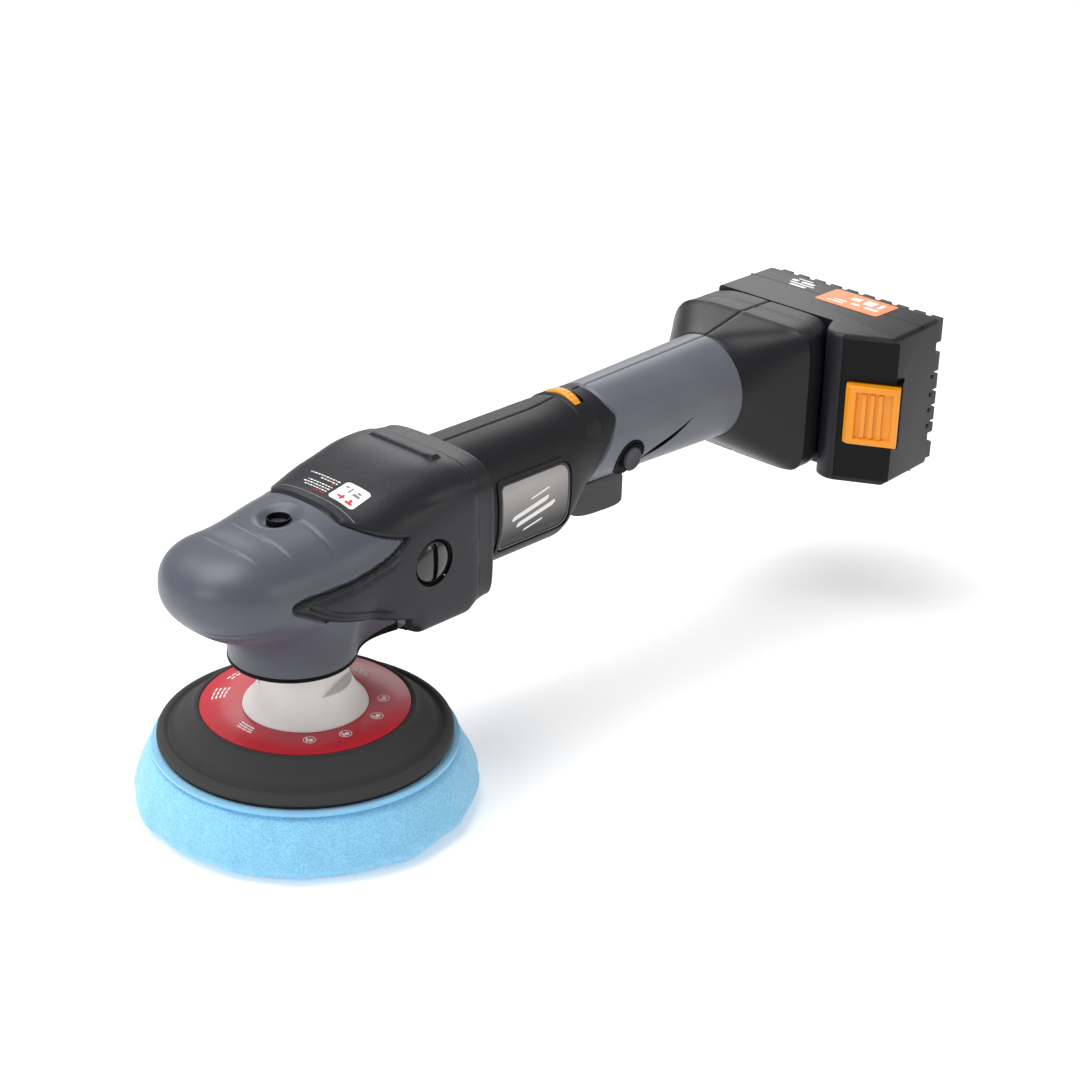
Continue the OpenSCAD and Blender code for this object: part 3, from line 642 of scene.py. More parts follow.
class Stock:
    """The finishes that this tool is made in."""

    NOSE = Finish("nose_soft_grey", "50535e", 0.4, Grain.SATIN, 1900, 0.03, rub=0.1)
    COVER = Finish("cover_spark_black", "202126", 0.4, Grain.SPARK, 1500, 0.11, uneven=0.25, rub=0.3,
                   specular=0.32)
    # Near black, darker than the black parts' own colour: partly their real black, partly painted shade on the gaps,
    # wells, lips, seams and undersides that wear it.
    SHADE_BLACK = Finish("black_with_painted_shade", "070708", 0.55, Grain.SATIN, 1500, 0.03, specular=0.12)
    GRIP = Finish("grip_soft_black", "17181b", 0.46, Grain.SPARK, 1900, 0.07, rub=0.2, specular=0.28)
    BARREL = Finish("barrel_satin_grey", "62656f", 0.38, Grain.SPARK, 2200, 0.035, rub=0.1)
    FOOT = Finish("foot_spark_black", "17181b", 0.38, Grain.SPARK, 1600, 0.09, uneven=0.2, rub=0.35,
                  specular=0.3)
    PACK = Finish("pack_spark_black", "1b1c20", 0.38, Grain.SPARK, 1500, 0.1, uneven=0.2, rub=0.4,
                  specular=0.3)
    # The pack's own black made darker still: painted shade over the recessed panel.
    RECESS_SHADE = Finish("recess_gloss_black_painted_shade", "0a0b0d", 0.36, Grain.SATIN, 1500, 0.02, specular=0.15)
    CAP = Finish("cap_gloss_black", "18191c", 0.2, Grain.SATIN, 900, 0.02, coat=0.4)
    CONTROL = Finish("control_grey", "24262b", 0.42, Grain.SPARK, 2000, 0.05, rub=0.2)
    TRIGGER = Finish("trigger_charcoal", "26272b", 0.48, Grain.SPARK, 1900, 0.07, rub=0.3)
    AMBER = Finish("amber_plastic", "f3980f", 0.34, Grain.SATIN, 1100, 0.03, uneven=0.06, coat=0.15)
    # The badge's fade is painted light: light silver at the top fading to near black at the bottom, a painted
    # reflection and shade.
    BADGE = Finish("badge_gunmetal", "a9a5a2", 0.34, Grain.TURNED, 2600, 0.02, metal=0.35,
                   fade=("1c1e24", 119, 97))
    WHITE_INK = Finish("white_ink", "f2f2f0", 0.5, Grain.FLAT, 1400, 0.01, uneven=0.05)
    RED_INK = Finish("red_ink", "c9262f", 0.5, Grain.FLAT, 1400, 0.01, uneven=0.08)
    GREY_INK = Finish("grey_ink", "75777c", 0.5, Grain.FLAT, 1400, 0.01, uneven=0.08)
    CARD = Finish("white_sticker", "f4f3f1", 0.38, Grain.FLAT, 1200, 0.01, uneven=0.03, coat=0.2)
    ORANGE_CARD = Finish("orange_sticker", "ee7a22", 0.4, Grain.FLAT, 1200, 0.01, uneven=0.06, coat=0.15)
    RED_CARD = Finish("red_sticker", "c71f31", 0.4, Grain.SATIN, 1300, 0.01, uneven=0.08, coat=0.1)
    HUB = Finish("hub_white_nylon", "f3f2ef", 0.44, Grain.SATIN, 900, 0.05, uneven=0.07)
    RUBBER = Finish("plate_rubber", "08080a", 0.22, Grain.RUBBER, 1200, 0.05, uneven=0.3, specular=0.26)
    # The foam's pits are darkened as painted shade in its pores.
    FOAM = Finish("foam_sky_blue", "92d5fa", 0.95, Grain.FOAM, 1150, 0.35, uneven=0.1, sheen=0.35,
                  pit_shade=0.3,
                  specular=0.2)
    PIN = Finish("blackened_steel", "26272a", 0.42, Grain.TURNED, 3000, 0.02, metal=0.6)
    STEEL = Finish("machined_steel", "b9bbc0", 0.28, Grain.TURNED, 3000, 0.02, metal=1.0)

    SLOTS = {
        "steel": STEEL,
        "bearing_steel": Finish("bearing_steel", "c6c8cc", 0.2, Grain.TURNED, 3600, 0.01, metal=1.0),
        "casting": Finish("cast_aluminium", "a3a5a8", 0.5, Grain.SPARK, 1500, 0.12, metal=0.9),
        "lamination": Finish("stacked_laminations", "5d5f64", 0.45, Grain.TURNED, 2600, 0.08, metal=0.8),
        "magnet": Finish("ferrite_magnet", "303135", 0.6, Grain.SPARK, 1400, 0.06),
        "copper": Finish("enamelled_copper", "a8562a", 0.32, Grain.TURNED, 2400, 0.1, metal=0.9, coat=0.4),
        "brass": Finish("plated_brass", "c49a4c", 0.3, Grain.TURNED, 2600, 0.02, metal=1.0),
        "carbon": Finish("carbon_block", "26272a", 0.65, Grain.SPARK, 2200, 0.05),
        "board": Finish("solder_mask", "1c5a3c", 0.35, Grain.SATIN, 1300, 0.03, coat=0.3),
        "dark_plastic": Finish("inner_plastic", "1c1d20", 0.5, Grain.SPARK, 1700, 0.05),
        "hook": Finish("hook_tape", "131315", 0.85, Grain.FUZZ, 1500, 0.4),
        "loop": Finish("loop_tape", "8fd0f5", 0.95, Grain.FUZZ, 1300, 0.4, sheen=0.4),
        "cell_wrap": Finish("cell_wrap", "3a78a8", 0.35, Grain.SATIN, 900, 0.02, coat=0.3),
    }


@dataclass(frozen=True)
class Oval:
    """A rounded upright section across X, with its own fullness above and below its middle."""

    half: Array
    low: Array
    high: Array
    upper: Array
    lower: Array

    def at(self, angle: Array) -> tuple[Array, Array]:
        """Find the outline's point at an angle, 0 on the +Y side and a quarter turn at the top.

        Args:
            angle: The angle in radians.

        Returns:
            Y and Z of the point.
        """
        c, s = np.cos(angle), np.sin(angle)
        power = np.where(s < 0, self.lower, self.upper)
        k = (np.abs(c) ** power + np.abs(s) ** power) ** (-1 / power)
        return self.half * c * k, (self.low + self.high) / 2 + (self.high - self.low) / 2 * s * k

    def top(self, y: Array) -> Array:
        """Height of the upper surface over Y."""
        share = np.clip(1 - np.abs(y / self.half) ** self.upper, 0, 1) ** (1 / self.upper)
        return (self.low + self.high) / 2 + (self.high - self.low) / 2 * share

    def under(self, y: Array) -> Array:
        """Height of the lower surface under Y."""
        share = np.clip(1 - np.abs(y / self.half) ** self.lower, 0, 1) ** (1 / self.lower)
        return (self.low + self.high) / 2 - (self.high - self.low) / 2 * share

    def side(self, z: Array) -> Array:
        """Half width at a height."""
        middle, rise = (self.low + self.high) / 2, (self.high - self.low) / 2
        power = np.where(z < middle, self.lower, self.upper)
        return self.half * np.clip(1 - np.abs((z - middle) / rise) ** power, 0, 1) ** (1 / power)


class HeadForm:
    """The shape that the grey nose and the black cover share."""

    TIP, END, MIDDLE, ROUND = -60.0, 84.0, 112.0, 31.0

    @staticmethod
    def section(x: Array, lift: Array | float = 0.0) -> Oval:
        """The section at a station, grown by a lift."""
        t = np.clip((x - HeadForm.TIP) / HeadForm.ROUND, 0, 1)
        full = (1 - (1 - t) ** 2.2) ** 0.5
        half = full * (31.6 + 4.4 * smooth((x + 34) / 44)) + 1.4 * smooth((x - 14) / 26) - 1.2 * smooth((x - 68) / 16)
        rise = (full ** 0.9 * (19.5 + 5 * smooth((x + 30) / 40) + 8 * smooth((x - 2) / 54))
                - 1.6 * smooth((x - 64) / 20))
        drop = full ** 1.25 * (23 + 9 * smooth((x + 40) / 34) + 3 * smooth((x - 20) / 22)) - 2 * smooth((x - 66) / 18)
        drop = drop + 1.5 * smooth((x - 37) / 5) * (1 - smooth((x - 69) / 5))
        return Oval(np.maximum(half + lift, 1e-4), HeadForm.MIDDLE - np.maximum(drop + lift, 1e-4),
                    HeadForm.MIDDLE + np.maximum(rise + lift, 1e-4),
                    2.5 + 0.9 * smooth((x - 4) / 30) + 1.1 * smooth((x - 34) / 30),
                    2.3 + 3.6 * smooth((x - 14) / 24) + 3 * smooth((x - 34) / 9))


class BodyForm:
    """The handle behind the head: a deep oval that runs into a slightly conical barrel."""

    START, END, AXIS_Z = 84.0, 262.0, 119.6

    @staticmethod
    def section(x: Array, lift: Array | float = 0.0) -> Oval:
        """The section at a station, grown by a lift."""
        radius = 25.7 - (262 - x) * 0.0308
        t = smooth((x - 141) / 24)
        low = mix(79.2, BodyForm.AXIS_Z - radius, smooth((x - 141) / 26) ** 0.9)
        high = mix(140.6, BodyForm.AXIS_Z + radius, smooth((x - 138) / 22))
        power = mix(2.5, 2.0, t)
        return Oval(mix(26.2, radius, t) + lift, low - lift, high + lift, power, power)


class FootForm:
    """The flare from the barrel to the foot that the battery slides on to."""

    START, CREASE, CORNER, END = 262.0, 290.0, 301.0, 312.5

    @staticmethod
    def section(x: Array, side: int, lift: Array | float = 0.0) -> Oval:
        """The section at a station on one side of the tool, grown by a lift."""
        t = np.clip((x - FootForm.START) / (FootForm.CREASE - FootForm.START), 0, 1) ** 1.08
        near = mix(25.7, 43.0, t) - 4.6 * np.clip((x - FootForm.CORNER) / 11.5, 0, 1)
        half = near if side < 0 else mix(25.7, 43.8, t)
        power = mix(2.0, 8.0, t ** 1.5)
        upper = power if side < 0 else mix(2.0, 4.2, t)
        return Oval(half + lift, mix(93.9, 77, t) - lift, mix(145.3, 151, t) + lift, upper, upper)


@dataclass
class Head:
    """The gear head's shells: grey nose, black cover, neck, and what is fitted to them."""

    proud: float = 0.8
    cover_rows: int = 300
    hole_x: float = -6.0
    hole_r: float = 5.2
    dish_r: float = 11.0
    cap_x: float = 46.0
    cap_z: float = 109.0
    cap_r: float = 10.6
    neck_r: float = 27.3
    neck_z: float = 70.6
    rib_x: float = 65.0
    band_x: float = 73.0
    top_edge: tuple[Pair, ...] = ((6, 160), (6.8, 150), (9, 134))
    brow: tuple[Pair, ...] = ((9, 134), (20, 128.6), (33, 124.5))
    tusk_top: tuple[Pair, ...] = ((33, 124.5), (23, 117.9), (9, 114.2), (-8, 112.4), (-20, 111.6))
    tusk_tip: tuple[Pair, ...] = ((-20, 111.6), (-24.6, 110.4), (-24.9, 108.2), (-20, 105.4))
    tusk_low: tuple[Pair, ...] = ((-20, 105.4), (-8, 98.4), (8, 92.2), (22, 88.2), (34, 85.5))
    behind: tuple[Pair, ...] = ((35, 78), (36, 60), (90, 60), (90, 160))

    def parting(self, flange: float = 0.0) -> list[Pair]:
        """The closed side outline, in X and Z, of the part that the black cover takes, grown by a flange."""
        runs = (run_through(r, 8)[:-1] for r in (self.top_edge, self.brow, self.tusk_top, self.tusk_tip,
                                                 self.tusk_low))
        line = np.array([p for run in runs for p in run] + [self.tusk_low[-1]])
        way = np.gradient(line, axis=0)
        way /= np.hypot(*way.T)[:, None]
        room = np.hypot(line[:, 0] - self.brow[-1][0], line[:, 1] - self.brow[-1][1])
        grown = line + np.minimum(flange, 0.3 * room)[:, None] * np.stack((way[:, 1], -way[:, 0]), 1)
        return [(float(x), float(z)) for x, z in grown] + list(self.behind)

    def inside_cover(self, x: Array, z: Array) -> Array:
        """Signed distance to the parting line in side view, positive on the cover's side.

        Args:
            x: Stations of the points.
            z: Their heights.

        Returns:
            The distances in millimetres.
        """
        line = np.array(self.parting())
        best, odd = np.full(x.shape, 1e9), np.zeros(x.shape, bool)
        for (ax, az), (bx, bz) in zip(line, np.roll(line, -1, 0)):
            long = (bx - ax) ** 2 + (bz - az) ** 2
            t = np.clip(((x - ax) * (bx - ax) + (z - az) * (bz - az)) / max(long, 1e-9), 0, 1)
            best = np.minimum(best, np.hypot(x - ax - t * (bx - ax), z - az - t * (bz - az)))
            if az != bz:
                crossed = (az > z) != (bz > z)
                odd ^= crossed & (x < (bx - ax) * (z - az) / (bz - az) + ax)
        return np.where(odd, best, -best)

    def nose_law(self, u: Array, v: Array) -> tuple[Array, Array, Array]:
        """The grey shell's outer surface, with its grooves, dish and the step under the cover."""
        x = HeadForm.TIP + (46 - HeadForm.TIP) * u ** 1.4
        angle = TURN * v
        y, z = HeadForm.section(x).at(angle)
        depth = self.inside_cover(x, z)
        lift = -1.3 * smooth((depth + 1.5) / 0.9) - 0.8 * smooth((depth - 0.2) / 1.2)
        on_top = smooth((z - 122) / 4)
        for station, middle, reach in ((-36, -4, 17), (-21, -6, 20), (-3, -15, 19)):
            fade = smooth((reach - np.abs(y - middle)) / 7)
            lift -= 0.55 * hump(x - station - 0.004 * (y - middle) ** 2, 0.6) * fade * on_top
        belt = smooth((17 - np.abs(y + 14)) / 8) * smooth((-30 - x) / 6)
        lift -= 0.55 * hump(z - 100.5 + 0.1 * (y + 14), 0.65) * belt
        y, z = HeadForm.section(x, lift).at(angle)
        reach = np.hypot(x - self.hole_x, y)
        dish = np.clip((self.dish_r - reach) / (self.dish_r - self.hole_r), 0, 1.1)
        z = z - np.where(z > HeadForm.MIDDLE, 3.1 * smooth(dish * 0.9) * (1 + 0.25 * y / self.dish_r), 0)
        return x, y, z

    def cover_law(self, u: Array, v: Array) -> tuple[Array, Array, Array]:
        """The black cover's outer surface: rolled edge, beaded tusks, rib, band and rear wall."""
        run = 26.5 + HeadForm.END
        x = np.minimum(-26.5 + (run + 9) * u, HeadForm.END)
        turn_in = np.clip((-26.5 + (run + 9) * u - HeadForm.END) / 9, 0, 1)
        angle = TURN * v
        y, z = HeadForm.section(x, self.proud).at(angle)
        depth = self.inside_cover(x, z)
        lift = self.proud - 0.55 * smooth((1.0 - depth) / 1.0) ** 2 - 1.15 * smooth((0.25 - depth) / 0.5)
        tusk = smooth((30 - x) / 10) * smooth((119 - z) / 3) * smooth((np.abs(y) - 20) / 6)
        lift += tusk * (0.6 * hump(depth - 2.0, 0.8) - 0.75 * hump(depth - 3.8, 0.9))
        rib = smooth((3.2 - np.abs(x - self.rib_x)) / 1.2) * smooth((19.6 - np.abs(y)) / 1.6) * smooth((z - 130) / 4)
        lift += rib * (1.1 + 0.5 * smooth((-13.5 - y) / 1.2))
        slope = self.band_x + 0.035 * (HeadForm.MIDDLE + 30 - z)
        lift -= 0.5 * hump(x - slope, 0.55) + 0.3 * smooth((x - slope) / 1.2)
        lift -= 0.35 * hump(z - 136.5 + 0.02 * x, 1.6) * smooth((np.abs(y) - 30) / 3) * smooth((x - 30) / 10)
        y, z = HeadForm.section(x, lift).at(angle)
        inner_y, inner_z = BodyForm.section(np.full_like(x, 90.0), 0.5).at(angle)
        share = np.where(turn_in > 0, 1 - np.cos(np.minimum(turn_in * 3, 1) * QUARTER), 0) * 0.3
        share = np.where(turn_in > 1 / 3, mix(0.3, 1.0, (turn_in - 1 / 3) * 1.5), share)
        back = np.where(turn_in > 0, np.sin(np.minimum(turn_in * 3, 1) * QUARTER) * 2.2, 0)
        return x - 2.2 * smooth((x - 60) / 24) + back, mix(y, inner_y, share), mix(z, inner_z, share)

    def neck_law(self, u: Array, v: Array, lift: float, low: float, start: float,
                 sweep: float) -> tuple[Array, Array, Array]:
        """A flare that leaves the neck upright and meets the head's underside along it.

        Args:
            u: Position round the neck, from 0 to 1.
            v: Position up the flare.
            lift: How far it stands proud.
            low: Height of its lower edge.
            start: First angle.
            sweep: Angle covered.

        Returns:
            X, Y and Z.
        """
        angle = start + sweep * u
        c, s = np.cos(angle), np.sin(angle)
        rear = smooth((c + 0.1) / 0.8)
        reach = 33.9 + 4.6 * rear - 0.6 * smooth(-c) + 6.5 * hump(c - 0.66, 0.24)

        def ceiling(q: Array) -> Array:
            """Height of the head's underside at a reach from the neck's axis."""
            head = HeadForm.section(q * c - 1.5)
            return head.under(np.minimum(np.abs(q * s), head.half * 0.985)) + 0.3

        end_z = ceiling(reach) - 1.6 * hump(c - 0.66, 0.3)
        slope = np.clip((ceiling(reach + 0.4) - ceiling(reach - 0.4)) / 0.8, 0, 4)
        leave, arrive = v ** 3 - 2 * v ** 2 + v, v ** 3 - v ** 2
        blend = 3 * v ** 2 - 2 * v ** 3
        out = mix(blend, v ** 1.4, rear)
        pull = (1 - rear) * 16 / (1 + slope)
        r = (self.neck_r + lift) * (1 - out) + (reach + lift) * out + pull * arrive
        front_z = low + (end_z - low) * blend + 24 * leave + slope * 16 / (1 + slope) * arrive
        z = mix(front_z, low + (end_z - low) * (v + 0.2 * v * (1 - v)), rear)
        return r * c - 1.5 * smooth(v), r * s, z

    def build(self) -> None:
        """Build the head's pieces and dress them."""
        nose = Bench.skin("nose_shell", 190, 216, self.nose_law, (0, 0, 112))
        Bench.thicken(nose, 2.0)
        hole = Bench.lathe("hole_tool", [(0, -4), (self.hole_r, -4), (self.hole_r, 14), (0, 14)],
                           (self.hole_x, 0, 124), steps=48)
        Bench.cut(nose, hole)
        neck = Bench.skin("neck_flare", 160, 18,
                          lambda u, v: self.neck_law(u, v, 0.0, self.neck_z, 0, TURN), (0, 0, 85))
        Bench.thicken(neck, 2.0)
        nose = Bench.join("nose_shell", [nose, neck])
        Bench.fit(Bench.polish(nose, 40), Stock.NOSE, "tool", "grey_shell", ["nose_cover"])
        spine = Bench.skin("neck_spine", 60, 18, lambda u, v: self.neck_law(
            u, v, 0.7, self.neck_z - 0.2, -math.radians(50), math.radians(100)), (0, 0, 85))
        Bench.thicken(spine, 1.2)
        Bench.fit(Bench.polish(spine), Stock.SHADE_BLACK, "tool", "black_shell")
        self._cover()
        self._fittings()
        self._warning_card()

    def _cover(self) -> None:
        """Build the black cover and its small stepped teeth."""
        cover = Bench.skin("front_cover_shell", 150, self.cover_rows, self.cover_law, (40, 0, 112))
        Bench.thicken(cover, 2.4)
        cover = Bench.keep(cover, Bench.side_plate("parting_tool", self.parting(0.85), -60, 60))
        for side in (-1, 1):
            ring = [(0, 0), (self.cap_r, 0), (self.cap_r, 10), (0, 10)]
            Bench.cut(cover,
                      Bench.lathe("cap_tool", ring, (self.cap_x, side * 36 - 5, self.cap_z), Axis.Y, 64))
        Bench.fit(Bench.polish(cover, 38), Stock.COVER, "tool", "black_shell", ["front_cover"])
        teeth = []
        for number, (x, wide, drop) in enumerate(((35.0, 1.9, -1.4), (37.6, 1.9, -0.4), (40.2, 1.9, 0.6))):
            for side in (-1, 1):
                tooth = Bench.block(f"cover_tooth_{number}_{side + 1}", (x, side * 29 - 3.5, 77.2 - drop),
                                    (x + wide, side * 29 + 3.5, 82))
                teeth.append(Bench.ease(tooth, 0.5, 2))
        Bench.fit(Bench.polish(Bench.join("cover_teeth", teeth)), Stock.SHADE_BLACK, "tool", "black_shell")

    def _fittings(self) -> None:
        """Build the brush caps, the neck ring and the cup round the nose screw."""
        profile = run_through([(0, 5.9), (5.2, 5.5), (8.6, 4.4), (9.9, 2.6), (10.1, 0)], 4)
        cap = Bench.lathe("brush_cap_left", [*profile, (0, 0)], (0, 0, 0), steps=72)
        Bench.cut(cap, Bench.block("slot_tool", (-1.4, -8.4, 3.2), (1.4, 8.4, 9)))
        Bench.ease(cap, 0.25, 2, 40)
        Bench.place(cap, (self.cap_x, -33.2, self.cap_z), (QUARTER, 0, 0))
        other = Bench.twin(cap, "brush_cap_right", flip=True)
        for piece in (cap, other):
            Bench.fit(Bench.polish(piece, 30), Stock.CAP, "tool", "dark_plastic", ["brush_caps"])
        for side, name in ((-1, "left"), (1, "right")):
            well = Bench.lathe(f"cap_well_{name}",
                               [(10.55, 0), (10.55, 7.4), (9.9, 7.0), (9.7, 0.8), (0, 0.8), (0, 0)],
                               (self.cap_x, side * 29.6, self.cap_z), Axis.Y, 64)
            if side < 0:
                Bench.place(well, (0, -2 * 29.6, 2 * self.cap_z), (math.pi, 0, 0))
            Bench.fit(Bench.polish(well), Stock.SHADE_BLACK, "tool", "black_shell")
        lip = [(24.3, 0.2), (24.6, 0), (27.1, 0), (27.6, 0.5), (27.7, 1.4), (27.4, 2.0), (24.3, 2.0)]
        ring = Bench.lathe("neck_lip", lip, (0, 0, 68.6), steps=128)
        Bench.fit(Bench.polish(ring), Stock.SHADE_BLACK, "tool", "soft_black", ["neck_ring"])
        cup = [(5.15, 0), (5.15, 5.4), (4.6, 5.4), (4.5, 0.6), (4.3, 0.4), (0, 0.4), (0, 0)]
        Bench.fit(Bench.polish(Bench.lathe("screw_cup", cup, (self.hole_x, 0, 128.2), steps=48)),
                  Stock.SHADE_BLACK, "tool", "dark_plastic")

    def patch(self, name: str, low: Pair, high: Pair, lift: float, thick: float = 0.12) -> Thing:
        """Lay a thin rounded card on the cover's top between two corners in plan.

        Args:
            name: The card's name.
            low: Lowest X and Y.
            high: Highest X and Y.
            lift: Height over the cover's skin.
            thick: The card's thickness.

        Returns:
            The card.
        """
        corner = min(1.6, (high[0] - low[0]) * 0.3, (high[1] - low[1]) * 0.3)

        def law(u: Array, v: Array) -> tuple[Array, Array, Array]:
            x, y = mix(low[0], high[0], u), mix(low[1], high[1], v)
            ends = np.minimum(np.minimum(u, 1 - u) * (high[0] - low[0]), corner) / corner
            pull = corner * (1 - np.sqrt(np.clip(1 - (1 - ends) ** 2, 0, 1)))
            y = mix(low[1] + pull, high[1] - pull, v)
            return x, y, HeadForm.section(x, self.proud + lift).top(y)

        cells = [max(3, int((high[i] - low[i]) / 0.8)) for i in (0, 1)]
        return Bench.thicken(Bench.skin(name, cells[0], cells[1], law, (20, 0, 112)), thick)

    def _warning_card(self) -> None:
        """Lay the pictogram card and the rows of small marks on the cover."""
        card = self.patch("warning_card", (15.5, -20.5), (27.5, -5.5), 0.2)
        Bench.fit(Bench.polish(card), Stock.CARD, "tool", "sticker", ["warning_label"])
        marks: dict[str, list[Thing]] = {"white": [], "red": [], "grey": []}
        rows = ((17.0, -3.5, 10.5, "white"), (18.6, -3.5, 12.0, "white"), (20.2, -3.5, 11.0, "white"),
                (15.4, -3.5, 3.5, "red"), (23.2, -3.5, 7.5, "white"), (24.8, -3.5, 14.5, "white"),
                (22.0, -3.5, -1.0, "red"))
        for number, (x, start, end, ink) in enumerate(rows):
            y, step = start, 0
            while y < end:
                length = (1.2, 1.7, 0.8, 1.4)[(step + number) % 4]
                marks[ink].append(self.patch(f"mark_{number}_{step}", (x, y),
                                             (x + 0.6, min(y + length, end + 0.4)), 0.2))
                y, step = y + length + 0.5, step + 1
        for x0, x1, y0, y1, ink in ((16.8, 18.0, -18.6, -14.6, "red"), (18.0, 19.6, -17.4, -15.8, "red"),
                                    (16.8, 20.0, -12.2, -11.0, "red"), (18.0, 19.0, -13.0, -8.8, "red"),
                                    (21.8, 23.0, -18.0, -14.0, "grey"), (23.6, 24.6, -17.2, -15.2, "grey"),
                                    (21.6, 25.4, -12.0, -11.2, "grey"), (24.2, 25.0, -9.6, -7.4, "grey")):
            marks[ink].append(self.patch(f"sign_{x0}_{y0}".replace("-", "m"), (x0, y0), (x1, y1), 0.32))
        for ink, finish in (("white", Stock.WHITE_INK), ("red", Stock.RED_INK), ("grey", Stock.GREY_INK)):
            Bench.fit(Bench.polish(Bench.join(f"{ink}_marks", marks[ink])), finish, "tool", "sticker")
        edge = self.patch("label_edge_line", (12.6, -25.5), (13.0, 20), 0.12, 0.08)
        Bench.fit(Bench.polish(edge), Stock.GREY_INK, "tool", "sticker")


@dataclass
class Handle:
    """The handle: soft grips, barrel halves, name plates, and the controls let into them."""

    grip: float = 1.7
    dial: Triple = (163.0, 0.0, 130.0)
    dial_r: float = 15.0
    lock: Triple = (186.5, -24.2, 110.6)
    badge: tuple[float, float, float, float] = (97.6, 141.4, 91.8, 124.2)
    rear_edge: tuple[Pair, ...] = ((160, 176.4), (142, 176.2), (138, 176.8), (135.6, 177.9), (133.4, 179.2),
                                   (132, 179.1), (130.6, 178), (126.6, 174.6), (119.4, 169.6), (111, 164.4),
                                   (98, 158), (89, 153.2), (78, 148), (60, 146))
    vent: tuple[Pair, ...] = ((194, 106), (208, 109.6), (220, 115.4), (228, 120.4), (214, 115), (202, 110.6))

    def grip_end(self, z: Array) -> Array:
        """Station where the grip ends, at a height."""
        line = np.array(self.rear_edge)[::-1]
        return np.interp(z, line[:, 0], line[:, 1])

    def _ring_point(self, x: Array, v: Array, lift: Array | float, side: int) -> tuple[Array, Array]:
        """Y and Z on one half of the handle's outline, from the bottom at 0 to the top at 1."""
        y, z = BodyForm.section(x, lift).at(-QUARTER + math.pi * v)
        return y * side, z

    def _end_of_row(self, v: Array, side: int) -> Array:
        """Station where a row of the grip's grid meets the grip's rear edge."""
        x = np.full_like(v, 160.0)
        for _ in range(12):
            x = mix(x, self.grip_end(self._ring_point(x, v, 0, side)[1]), 0.6)
        return x

    @staticmethod
    def _seam(v: Array, depth: float) -> Array:
        """Roll a half's edges inwards where it meets the other half."""
        gap = np.minimum(v, 1 - v) * 75
        return -depth * (1 - smooth(gap / 0.9))

    def grip_law(self, u: Array, v: Array, side: int) -> tuple[Array, Array, Array]:
        """One soft grip's outer surface, with rolled edges and a shallow groove before its rear edge."""
        end = self._end_of_row(v, side) - 0.3
        x = mix(BodyForm.START - 0.5, end, 1 - (1 - u) ** 1.25)
        short = end - x
        lift = self._seam(v, 0.55) - 0.95 * (1 - smooth(short / 1.1)) ** 2 + 0.15 * hump(short - 2.2, 1.0)
        y, z = self._ring_point(x, v, lift, side)
        return x, y, z

    def barrel_law(self, u: Array, v: Array, side: int) -> tuple[Array, Array, Array]:
        """One barrel half's outer surface, which passes under the grip and steps up behind it."""
        end = self._end_of_row(v, side)
        front = np.minimum(u / 0.4, 1)
        x = np.where(u <= 0.4, mix(BodyForm.START, end + 0.3, front),
                     mix(end + 0.3, BodyForm.END, ((u - 0.4) / 0.6) ** 1.3))
        lift = np.where(u <= 0.4, -self.grip - 0.05, -0.7 * (1 - smooth((x - end - 0.3) / 0.8)))
        y, z = self._ring_point(x, v, lift + self._seam(v, 0.45), side)
        return x, y, z

    def side_card(self, name: str, box: tuple[float, float, float, float], lift: float, side: int,
                  thick: float = 0.5, corner: float = 2.0, tall: bool = False) -> Thing:
        """Lay a rounded card on the handle's side.

        Args:
            name: The card's name.
            box: Lowest X, highest X, lowest Z and highest Z.
            lift: Height over the handle's skin.
            side: -1 for the -Y side, 1 for the other.
            thick: The card's thickness.
            corner: The radius of its corners.
            tall: True where the rear corners have twice that radius.

        Returns:
            The card.
        """
        x0, x1, z0, z1 = box

        def law(u: Array, v: Array) -> tuple[Array, Array, Array]:
            x = mix(x0, x1, u)
            rear = corner * (2.2 if tall else 1)
            ends = np.where(u < 0.5, u * (x1 - x0) / corner, (1 - u) * (x1 - x0) / rear)
            radius = np.where(u < 0.5, corner, rear)
            pull = radius * (1 - np.sqrt(np.clip(1 - (1 - np.clip(ends, 0, 1)) ** 2, 0, 1)))
            z = mix(z0 + pull, z1 - pull, v)
            return x, side * BodyForm.section(x, lift).side(z), z

        cells = (max(4, int((x1 - x0) / 0.7)), max(3, int((z1 - z0) / 0.9)))
        return Bench.thicken(Bench.skin(name, *cells, law, (115, 0, 110)), thick)

    def build(self) -> None:
        """Build the handle's pieces and dress them."""
        for side, name in ((-1, "left"), (1, "right")):
            barrel = Bench.skin(f"barrel_{name}", 150, 90, lambda u, v, s=side: self.barrel_law(u, v, s),
                                (160, 0, 112))
            Bench.thicken(barrel, 2.0)
            grip = Bench.skin(f"grip_{name}_soft", 120, 110, lambda u, v, s=side: self.grip_law(u, v, s),
                              (120, 0, 112))
            Bench.thicken(grip, 1.45)
            self._openings(barrel, side)
            self._openings(grip, side)
            Bench.fit(Bench.polish(barrel, 40), Stock.BARREL, "tool", "barrel_grey", [f"housing_{name}"])
            Bench.fit(Bench.polish(grip, 40), Stock.GRIP, "tool", "soft_black", [f"grip_{name}"])
            self._badge(side, name)
        # Dark sheets behind the vents paint the shade inside them.
        for side, name in ((-1, "left"), (1, "right")):
            shade_sheet = Bench.skin(f"vent_shade_sheet_{name}", 24, 20, lambda u, v, s=side: self._vent_shade_law(u, v, s),
                               (210, 0, 119))
            Bench.fit(Bench.polish(Bench.thicken(shade_sheet, 0.5)), Stock.SHADE_BLACK, "tool", "dark_plastic")
        self._controls()
        self._trigger()

    @staticmethod
    def _vent_shade_law(u: Array, v: Array, side: int) -> tuple[Array, Array, Array]:
        """A dark curved sheet behind one side's vent: painted shade for the inside seen through it."""
        x = mix(198.5, 234.0, u)
        y, z = BodyForm.section(x, -2.5).at(mix(-0.85, 0.25, v))
        return x, side * y, z

